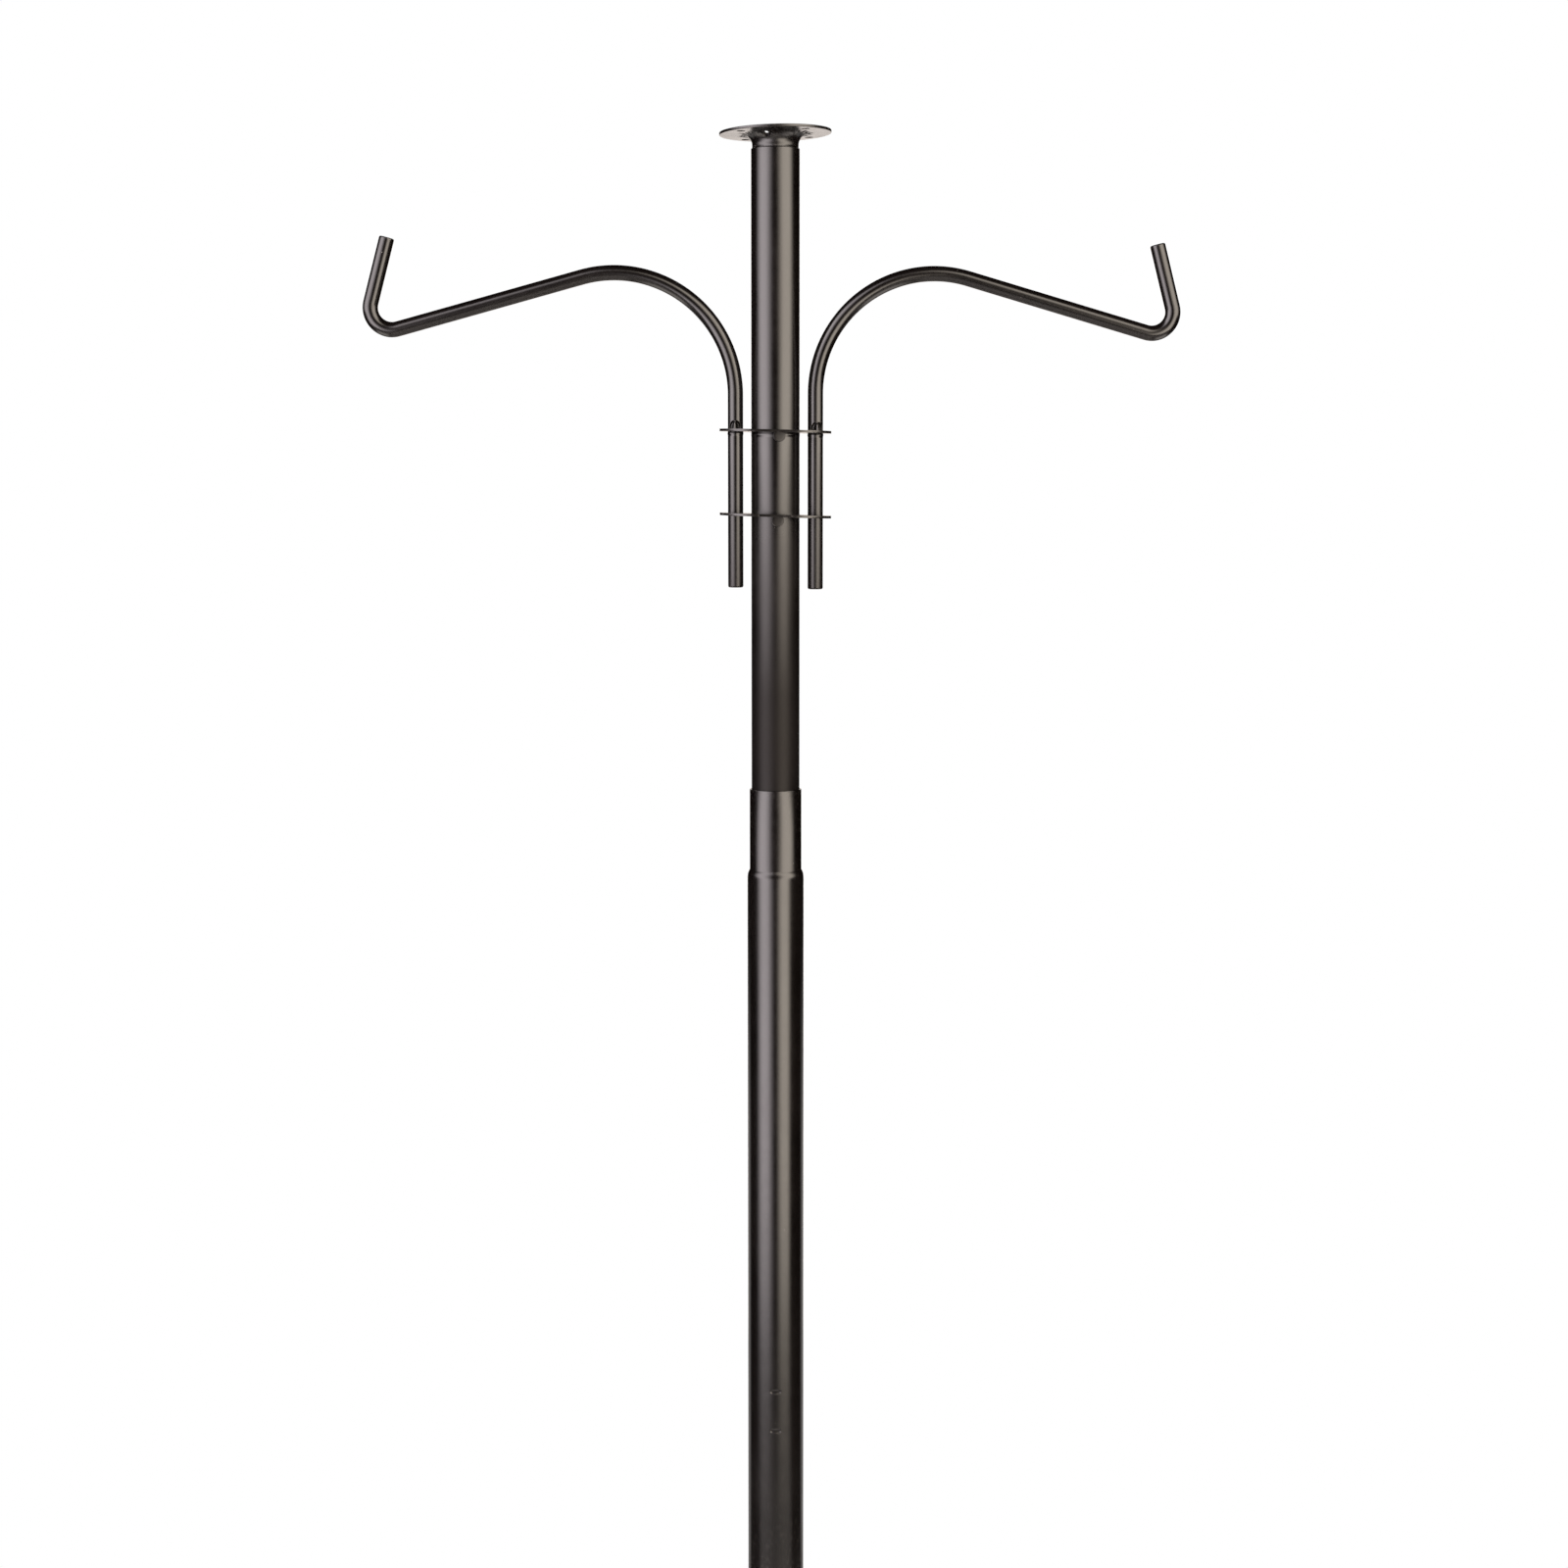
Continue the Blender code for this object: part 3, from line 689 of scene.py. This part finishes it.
upper_low, upper_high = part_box("upper_tube")
upper_radius = upper_high.y
plate_low, plate_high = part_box("upper_plate")
plate_height = (plate_low.z + plate_high.z) / 2
bead_levels = []
for drop in np.linspace(*BEAD_SPAN, 16):
    swell = BEAD * math.sin(math.pi * (drop - BEAD_SPAN[0]) / (BEAD_SPAN[1] - BEAD_SPAN[0])) ** 2
    bead_levels.append((upper_radius + swell, plate_height - drop))
upper_corners = [
    (upper_radius, upper_high.z, 0.45 * MM),
    *[(r, z, 0.0) for r, z in bead_levels],
    (upper_radius, upper_low.z, 0.2 * MM),
    (upper_radius - UPPER_WALL, upper_low.z, 0.2 * MM),
    (upper_radius - UPPER_WALL, upper_high.z, 0.15 * MM),
]
upper_mesh = lathe("upper_tube_coated", rounded_outline(upper_corners), even_turns(144))
upper = fit_piece("upper_tube_coated", upper_mesh, upper_coat, "top_section")
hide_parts("upper_tube")


# ------------------------------------------------------------------------------------------
# Rivets
# A steel cross rivet runs through the tube under each plate, with a flat pan head front and
# back. The heads carry the plates, and are coated with the tube.
# ------------------------------------------------------------------------------------------

HEAD_RADIUS = 3.2 * MM
HEAD_HEIGHT = 1.0 * MM
SHANK_RADIUS = 2.4 * MM
HEAD_GAP = 0.3 * MM
RIVET_BELOW_PLATE = 2.5 * MM
RIVET_TURNS = {"upper": math.radians(9), "lower": math.radians(5.5)}

# Painted shade: the rivet heads' reflection is darkened to a little over half.
rivet_coat = powder_coat("rivet_coat", (0.0040, 0.0032, 0.0029), 0.30, painted_shade_sheen=0.55)


def rivet_tree():
    """The given head at both ends of a shank, front and back of the tube."""
    tree = bpy.data.node_groups.new("headed_rivet", "GeometryNodeTree")
    tree_socket(tree, "Head", "NodeSocketGeometry")
    tree_socket(tree, "Head Foot", "NodeSocketFloat", 13 * MM)
    tree_socket(tree, "Shank Radius", "NodeSocketFloat", SHANK_RADIUS)
    tree_socket(tree, "Coat", "NodeSocketMaterial")
    tree.interface.new_socket("Rivet", in_out="OUTPUT", socket_type="NodeSocketGeometry")
    given = add_node(tree, "NodeGroupInput").outputs

    def calculate(operation, first, second=0.0):
        return add_node(tree, "ShaderNodeMath", {0: first, 1: second}, operation=operation).outputs[0]

    back = calculate("MULTIPLY", given["Head Foot"], -1.0)
    span = calculate("MULTIPLY", given["Head Foot"], 2.0)
    start = add_node(tree, "ShaderNodeCombineXYZ", {"Z": back}).outputs[0]
    step = add_node(tree, "ShaderNodeCombineXYZ", {"Z": span}).outputs[0]
    line = {"Count": 2, "Start Location": start, "Offset": step}
    ends = add_node(tree, "GeometryNodeMeshLine", line, mode="OFFSET")
    number = add_node(tree, "GeometryNodeInputIndex").outputs[0]
    over = calculate("MULTIPLY", calculate("SUBTRACT", 1.0, number), math.pi)
    turn = add_node(tree, "ShaderNodeCombineXYZ", {"X": over}).outputs[0]
    heads = add_node(
        tree,
        "GeometryNodeInstanceOnPoints",
        {"Points": ends.outputs["Mesh"], "Instance": given["Head"], "Rotation": turn},
    )
    cylinder = {"Vertices": 48, "Radius": given["Shank Radius"], "Depth": span}
    shank = add_node(tree, "GeometryNodeMeshCylinder", cylinder)
    both = add_node(tree, "GeometryNodeJoinGeometry")
    tree.links.new(heads.outputs["Instances"], both.inputs[0])
    tree.links.new(shank.outputs["Mesh"], both.inputs[0])
    end_tree(tree, both.outputs[0], given["Coat"], "Rivet")
    return tree


rivet_growth = rivet_tree()
head_corners = [
    (0.0, HEAD_HEIGHT, 0.0),
    (0.55 * HEAD_RADIUS, HEAD_HEIGHT, 0.0),
    (HEAD_RADIUS - 0.05 * MM, HEAD_HEIGHT - 0.12 * MM, 0.3 * MM),
    (HEAD_RADIUS, 0.0, 0.1 * MM),
    (0.0, 0.0, 0.0),
]
for name in ("upper", "lower"):
    low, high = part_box(f"{name}_plate")
    height = (low.z + high.z) / 2 - RIVET_BELOW_PLATE
    head = lathe(f"{name}_head", rounded_outline(head_corners), even_turns(72))
    mesh = grow(
        f"{name}_rivet_coated",
        head,
        rivet_growth,
        {"Head Foot": upper_radius + HEAD_GAP, "Shank Radius": SHANK_RADIUS, "Coat": rivet_coat},
    )
    to_front = Matrix.Rotation(RIVET_TURNS[name], 4, "Z") @ Matrix.Rotation(math.radians(90), 4, "X")
    mesh.transform(Matrix.Translation((0, 0, height)) @ to_front)
    piece = fit_piece(f"{name}_rivet_coated", mesh, rivet_coat, "top_section")
    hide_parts(f"{name}_rivet")


# ------------------------------------------------------------------------------------------
# Hanger plates
# Two slot-shaped blanks of 1.3 mm sheet with punched holes for the tube and the rods. Their
# sheared edges are slightly rounded, and each sits a little out of level on its rivet.
# ------------------------------------------------------------------------------------------

PLATE_SHEET = 1.3 * MM
PLATE_RIM = 6.3 * MM
PLATE_TIP = 4.4 * MM
ROD_SLIP = 0.4 * MM
TUBE_SLIP = 0.25 * MM
PLATE_EDGE = 0.25 * MM
PLATE_TILTS = {"upper": math.radians(1.25), "lower": math.radians(1.75)}
ROD_RADIUS = 4.0 * MM
CUT_REACH = 10 * MM

left_swivel = next(joint for joint in frame["joints"] if joint["name"] == "left_arm_swivel")
rod_offset = abs(left_swivel["pos_m"][0])
plate_coat = powder_coat("plate_coat", (0.0024, 0.0018, 0.0016), 0.25, dust=0.5)


def prism(name, outline, low, high):
    mesh = bpy.data.meshes.new(name)
    shape = bmesh.new()
    face = shape.faces.new([shape.verts.new((x, y, low)) for x, y in outline])
    sides = bmesh.ops.extrude_face_region(shape, geom=[face])
    raised = [item for item in sides["geom"] if isinstance(item, bmesh.types.BMVert)]
    bmesh.ops.translate(shape, verts=raised, vec=(0, 0, high - low))
    bmesh.ops.recalc_face_normals(shape, faces=shape.faces)
    shape.to_mesh(mesh)
    shape.free()
    return mesh


def ring_points(radius, count, middle=(0.0, 0.0)):
    return [
        (middle[0] + radius * math.cos(turn), middle[1] + radius * math.sin(turn))
        for turn in even_turns(count)
    ]


def cut_and_settle(piece, cutters, bevel=None):
    """Cuts the cutters out of a piece, rounds what edges are left, and returns the plain mesh."""
    for cutter in cutters:
        cut = piece.modifiers.new(cutter.name, "BOOLEAN")
        cut.operation = "DIFFERENCE"
        cut.solver = "EXACT"
        cut.object = cutter
    if bevel:
        edge = piece.modifiers.new("edge", "BEVEL")
        edge.width = bevel
        edge.segments = 3
        edge.limit_method = "ANGLE"
        edge.angle_limit = math.radians(50)
        edge.use_clamp_overlap = True
    evaluated = piece.evaluated_get(bpy.context.evaluated_depsgraph_get())
    mesh = bpy.data.meshes.new_from_object(evaluated)
    mesh.name = piece.name
    for used in (*cutters, piece):
        bpy.data.objects.remove(used, do_unlink=True)
    return mesh


half_length = rod_offset + ROD_RADIUS + PLATE_TIP
half_width = upper_radius + PLATE_RIM
slot_middle = half_length - half_width
slot_outline = []
for side, start in ((1, -math.pi / 2), (-1, math.pi / 2)):
    for i in range(61):
        turn = start + math.pi * i / 60
        reach = side * slot_middle + half_width * math.cos(turn)
        slot_outline.append((reach, half_width * math.sin(turn)))
for name in ("upper", "lower"):
    low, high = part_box(f"{name}_plate")
    height = (low.z + high.z) / 2
    blank_mesh = prism(f"{name}_blank", slot_outline, -PLATE_SHEET / 2, PLATE_SHEET / 2)
    blank = put(f"{name}_blank", blank_mesh)
    tilt = Matrix.Rotation(PLATE_TILTS[name], 4, "Y")
    blank.data.transform(Matrix.Translation((0, 0, height)) @ tilt)
    ring = ring_points(upper_radius + TUBE_SLIP, 128)
    cutters = [put("tube_hole", prism("tube_hole", ring, -CUT_REACH, CUT_REACH))]
    for side in (-1, 1):
        ring = ring_points(ROD_RADIUS + ROD_SLIP, 64, (side * rod_offset, 0.0))
        cutters.append(put("rod_hole", prism("rod_hole", ring, -CUT_REACH, CUT_REACH)))
    notch = math.sqrt(HEAD_RADIUS**2 - (RIVET_BELOW_PLATE - PLATE_SHEET / 2) ** 2) + HEAD_GAP
    reach = upper_radius + 2 * HEAD_GAP + HEAD_HEIGHT
    corners = [(-notch, -reach), (notch, -reach), (notch, reach), (-notch, reach)]
    notch_mesh = prism("notch", corners, -CUT_REACH, CUT_REACH)
    notch_mesh.transform(Matrix.Rotation(RIVET_TURNS[name], 4, "Z"))
    cutters.append(put("notch", notch_mesh))
    for cutter in cutters:
        cutter.data.transform(Matrix.Translation((0, 0, height)))
    mesh = cut_and_settle(blank, cutters, PLATE_EDGE)
    mesh.name = f"{name}_plate_coated"
    piece = fit_piece(f"{name}_plate_coated", mesh, plate_coat, "top_section", sharp=40)
    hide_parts(f"{name}_plate")


# ------------------------------------------------------------------------------------------
# Hook arms
# Each arm is 8 mm rod, bent cold on a jig and cut off square. Above the upper plate the rod is
# punched from both sides, front and back, which presses out the ears that it hangs by.
# ------------------------------------------------------------------------------------------

ROD_TAIL = 83.4 * MM
EAR_REACH = 1.8 * MM
EAR_TOP = 4.6 * MM
PUNCH_DEPTH = 1.0 * MM
PUNCH_TOP = 4.4 * MM
PUNCH_TURN = math.radians(54)
EAR_ZONE = (-5.5 * MM, 7.4 * MM)
ROD_BEAD = 0.2 * MM
ROD_BEAD_DROP = 2.6 * MM
ROD_BEAD_WIDTH = 0.7 * MM
END_STEPS = (0.0, 0.02, 0.1, 0.25, 0.45, 0.7, 1.0)

ARM_BENDS = {
    "left": {
        "side": -1,
        "rise": 17.4 * MM,
        "crest_radius": 63.4 * MM,
        "fall": math.radians(15.5),
        "run": 100.0 * MM,
        "hook_radius": 11.3 * MM,
        "lean": math.radians(14.8),
        "tip": 34.6 * MM,
        "ear_turn": math.radians(-4),
    },
    "right": {
        "side": 1,
        "rise": 19.1 * MM,
        "crest_radius": 62.1 * MM,
        "fall": math.radians(16.6),
        "run": 97.2 * MM,
        "hook_radius": 10.9 * MM,
        "lean": math.radians(14.2),
        "tip": 33.3 * MM,
        "ear_turn": math.radians(13),
    },
}

# Towards their tails the arms' coat is rougher, and painted shade darkens its reflection.
arm_coat = powder_coat("arm_coat", (0.0018, 0.0013, 0.0012), 0.20, dulled_and_shaded=(1.05, 1.20))


def arc_points(middle, radius, start, end, step):
    count = max(2, math.ceil(abs(end - start) / step))
    turns = [start + (end - start) * i / count for i in range(count + 1)]
    return [middle + radius * Vector((math.cos(turn), math.sin(turn))) for turn in turns]


def arm_guide(bends, seat):
    """The rod's middle line, from its tail up over the crest and down and round the hook."""
    foot = seat - ROD_TAIL
    points = [Vector((rod_offset, foot + rise * MM)) for rise in END_STEPS]
    zone = np.arange(-5.6, 7.6, 0.2)
    points += [Vector((rod_offset, seat + rise * MM)) for rise in zone if abs(rise) > 0.05]
    points += [Vector((rod_offset, seat - 0.03 * MM)), Vector((rod_offset, seat + 0.03 * MM))]
    points.sort(key=lambda point: point.y)
    fall, lean = bends["fall"], bends["lean"]
    crest = Vector((rod_offset + bends["crest_radius"], seat + bends["rise"]))
    points += arc_points(crest, bends["crest_radius"], math.pi, math.pi / 2 - fall, math.radians(1.5))
    run_end = points[-1] + bends["run"] * Vector((math.cos(fall), -math.sin(fall)))
    hook = run_end + bends["hook_radius"] * Vector((math.sin(fall), math.cos(fall)))
    points += arc_points(hook, bends["hook_radius"], -math.pi / 2 - fall, lean, math.radians(4))
    along = Vector((-math.sin(lean), math.cos(lean)))
    bend_end = points[-1].copy()
    for left in reversed(END_STEPS):
        points.append(bend_end + (bends["tip"] - left * MM) * along)
    return [(bends["side"] * point.x, 0.0, point.y) for point in points]


def ease(share):
    share = min(1.0, max(0.0, share))
    return share * share * (3 - 2 * share)


def press_ears(mesh, bends, seat):
    """Sinks an arched punch mark in the front and back of the rod and raises an ear in each."""
    axis = bends["side"] * rod_offset
    for vertex in mesh.vertices:
        rise = vertex.co.z - seat
        out = Vector((vertex.co.x - axis, vertex.co.y))
        if not EAR_ZONE[0] < rise < EAR_ZONE[1] or not 0.5 * ROD_RADIUS < out.length < 2 * ROD_RADIUS:
            continue
        turn = math.atan2(out.x, abs(out.y)) - bends["ear_turn"]
        inside = 1 - math.hypot(turn / PUNCH_TURN, (rise + 0.3 * MM) / (PUNCH_TOP + 0.3 * MM))
        above = ease((rise + 1.5 * MM) / MM)
        change = 0.0
        if inside > 0:
            spread = math.radians(19 - 9 * max(0.0, rise) / EAR_TOP)
            ear = EAR_REACH * max(0.0, 1 - max(0.0, rise) / EAR_TOP) ** 0.7
            lift = math.exp(-((turn / spread) ** 2)) * ease(inside / 0.3)
            change = above * ((PUNCH_DEPTH + ear) * lift - PUNCH_DEPTH * ease(inside / 0.2))
        change += ROD_BEAD * math.exp(-(((rise + ROD_BEAD_DROP) / ROD_BEAD_WIDTH) ** 2))
        scale = (out.length + change) / out.length
        vertex.co.x = axis + out.x * scale
        vertex.co.y = out.y * scale


for name, bends in ARM_BENDS.items():
    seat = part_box(f"{name}_hook_arm")[0].z + ROD_TAIL
    mesh = grow(
        f"{name}_arm_coated",
        guide_curve(f"{name}_guide", arm_guide(bends, seat)),
        rod_growth,
        {"Rod Radius": ROD_RADIUS, "Edge Round": 0.85 * MM, "Sides": 120, "Coat": arm_coat},
    )
    close_up(mesh)
    press_ears(mesh, bends, seat)
    piece = fit_piece(f"{name}_arm_coated", mesh, arm_coat, f"{name}_arm", sharp=40)
    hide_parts(f"{name}_hook_arm")


# ------------------------------------------------------------------------------------------
# Top flange
# Sheet steel drawn to a round plate with a flared collar, whose spigot drops into the tube. It
# has four screw holes and a drain hole, and the flare is wrinkled where the sheet stretched.
# ------------------------------------------------------------------------------------------

FLANGE_RADIUS = 29.25 * MM
FLANGE_SHEET = 1.4 * MM
FLARE_RADIUS = 5.8 * MM
COLLAR_HEIGHT = 1.3 * MM
COLLAR_SEAT = 0.2 * MM
SPIGOT_LENGTH = 25 * MM
SPIGOT_CHAMFER = 0.2 * MM
RIM_ROUND = 0.3 * MM
SCREW_HOLE_RADIUS = 2.25 * MM
SCREW_TURN = math.radians(45 - 3.5)
FLANGE_LEAN = math.radians(1.8)
LEAN_TURN = math.radians(-33)
WRINKLE_COUNT = 110
WRINKLE_SEED = 7
VENT_RADIUS = 2.7 * MM
VENT_BORE = 1.1 * MM
VENT_DROP = 0.9 * MM
VENT_PIT = 0.55 * FLANGE_SHEET
VENT_TURN = math.radians(-19)
VENT_TILT = math.radians(60)

flange_coat = powder_coat("flange_coat", (0.0022, 0.0016, 0.0015), 0.26, dust=0.5)


def screw_hole_tree():
    """Round holes on a circle, cut straight down through the given sheet."""
    tree = bpy.data.node_groups.new("screw_holes", "GeometryNodeTree")
    tree_socket(tree, "Sheet", "NodeSocketGeometry")
    tree_socket(tree, "Count", "NodeSocketInt", 4)
    tree_socket(tree, "Circle Radius", "NodeSocketFloat", 23 * MM)
    tree_socket(tree, "Hole Radius", "NodeSocketFloat", 2 * MM)
    tree_socket(tree, "Turn", "NodeSocketFloat", 0.0)
    tree_socket(tree, "Height", "NodeSocketFloat", 0.0)
    tree_socket(tree, "Coat", "NodeSocketMaterial")
    tree.interface.new_socket("Drilled", in_out="OUTPUT", socket_type="NodeSocketGeometry")
    given = add_node(tree, "NodeGroupInput").outputs
    circle = {"Vertices": given["Count"], "Radius": given["Circle Radius"]}
    ring = add_node(tree, "GeometryNodeMeshCircle", circle)
    raised = add_node(tree, "ShaderNodeCombineXYZ", {"Z": given["Height"]}).outputs[0]
    turned = add_node(tree, "ShaderNodeCombineXYZ", {"Z": given["Turn"]}).outputs[0]
    placed = add_node(
        tree,
        "GeometryNodeTransform",
        {"Geometry": ring.outputs["Mesh"], "Translation": raised, "Rotation": turned},
    )
    cylinder = {"Vertices": 48, "Radius": given["Hole Radius"], "Depth": 12 * MM}
    drill = add_node(tree, "GeometryNodeMeshCylinder", cylinder)
    at_holes = {"Points": placed.outputs[0], "Instance": drill.outputs["Mesh"]}
    drills = add_node(tree, "GeometryNodeInstanceOnPoints", at_holes).outputs["Instances"]
    solid_drills = add_node(tree, "GeometryNodeRealizeInstances", {"Geometry": drills})
    cut = add_node(tree, "GeometryNodeMeshBoolean", operation="DIFFERENCE", solver="EXACT")
    tree.links.new(given["Sheet"], cut.inputs["Mesh 1"])
    tree.links.new(solid_drills.outputs["Geometry"], cut.inputs["Mesh 2"])
    end_tree(tree, cut.outputs["Mesh"], given["Coat"], "Drilled")
    return tree


flange_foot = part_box("top_flange")[0].z
spigot = upper_radius - UPPER_WALL - TUBE_SLIP
collar = upper_radius - UPPER_WALL + COLLAR_SEAT
bore = spigot - FLANGE_SHEET
seat = flange_foot + SPIGOT_LENGTH
flare_foot = seat + COLLAR_HEIGHT
underside = flare_foot + FLARE_RADIUS
flange_top = underside + FLANGE_SHEET
throat = collar + FLARE_RADIUS - bore
screw_circle = (collar + FLARE_RADIUS + FLANGE_RADIUS) / 2

flange_outline = [
    (bore + throat * (1 - math.cos(a)), flange_top - throat * (1 - math.sin(a)))
    for a in np.linspace(0, math.pi / 2, 17)
]
for middle, start in ((flange_top - RIM_ROUND, math.pi / 2), (underside + RIM_ROUND, 0.0)):
    flange_outline += [
        (FLANGE_RADIUS - RIM_ROUND + RIM_ROUND * math.cos(a), middle + RIM_ROUND * math.sin(a))
        for a in np.linspace(start, start - math.pi / 2, 5)
    ]
flat_reach = np.linspace(FLANGE_RADIUS - 1.5 * MM, collar + FLARE_RADIUS + 0.3 * MM, 14)
flange_outline += [(radius, underside) for radius in flat_reach]
flange_outline += [
    (collar + FLARE_RADIUS * (1 - math.cos(a)), flare_foot + FLARE_RADIUS * math.sin(a))
    for a in np.linspace(math.pi / 2, 0, 21)
]
flange_outline += [(collar, seat + 0.2 * MM), (collar - 0.1 * MM, seat), (spigot, seat)]
flange_outline += [(spigot, flange_foot + SPIGOT_CHAMFER), (spigot - SPIGOT_CHAMFER, flange_foot)]
flange_outline += [(bore + SPIGOT_CHAMFER, flange_foot), (bore, flange_foot + SPIGOT_CHAMFER)]
flange_mesh = lathe("flange_coated", flange_outline, even_turns(288))

wrinkle_numbers = np.random.default_rng(WRINKLE_SEED)
wrinkles = []
for _ in range(WRINKLE_COUNT):
    turn = wrinkle_numbers.uniform(0, math.tau)
    beside = abs(math.cos(turn))
    wrinkles.append(
        {
            "turn": turn,
            "reach": collar + wrinkle_numbers.uniform(4.9 - 2.2 * beside, 6.6) * MM,
            "width": wrinkle_numbers.uniform(0.3, 0.6) * MM,
            "length": wrinkle_numbers.uniform(0.4, 1.3) * MM,
            "depth": wrinkle_numbers.uniform(0.2, 0.4 + 0.3 * beside) * MM,
        }
    )
slope = math.tan(FLANGE_LEAN)
for vertex in flange_mesh.vertices:
    x, y, z = vertex.co
    reach = math.hypot(x, y)
    turn = math.atan2(y, x)
    outer = z < underside + 0.1 * MM and reach > collar + 0.5 * MM and z > flare_foot
    if outer:
        for mark in wrinkles:
            aside = (turn - mark["turn"] + math.pi) % math.tau - math.pi
            outward = (reach - mark["reach"]) / mark["length"]
            away = (aside * reach / mark["width"]) ** 2 + outward**2
            if away < 6:
                vertex.co.z += mark["depth"] * math.exp(-away)
    share = min(1.0, max(0.0, (z - flare_foot) / (underside - flare_foot)))
    vertex.co.z += share * slope * (x * math.cos(LEAN_TURN) + y * math.sin(LEAN_TURN))
flange_mesh = grow(
    "flange_drilled",
    flange_mesh,
    screw_hole_tree(),
    {
        "Circle Radius": screw_circle,
        "Hole Radius": SCREW_HOLE_RADIUS,
        "Turn": SCREW_TURN,
        "Height": underside,
        "Coat": flange_coat,
    },
)
blank = put("flange_blank", flange_mesh)
lay_over = Matrix.Rotation(math.radians(90), 4, "X")
on_pole = Matrix.Translation((0, 0, flare_foot)) @ Matrix.Rotation(VENT_TURN, 4, "Z") @ lay_over
vent_rise = FLARE_RADIUS * math.sin(VENT_TILT)
vent_reach = collar + FLARE_RADIUS * (1 - math.cos(VENT_TILT))
on_flare = Matrix.Translation((0, vent_rise, vent_reach)) @ Matrix.Rotation(VENT_TILT, 4, "X")
vent_frame = on_pole @ on_flare
pit_mesh = prism("vent_pit", ring_points(VENT_RADIUS, 48), -VENT_PIT, 4 * FLANGE_SHEET)
vent_ring = ring_points(VENT_BORE, 32, (0.0, -VENT_DROP))
vent_mesh = prism("vent", vent_ring, -4 * FLANGE_SHEET, 4 * FLANGE_SHEET)
for cutter in (pit_mesh, vent_mesh):
    cutter.transform(vent_frame)
flange_mesh = cut_and_settle(blank, [put("vent_pit", pit_mesh), put("vent", vent_mesh)])
flange_mesh.name = "flange_coated"
flange = fit_piece("flange_coated", flange_mesh, flange_coat, "flange", sharp=35)
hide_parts("top_flange")
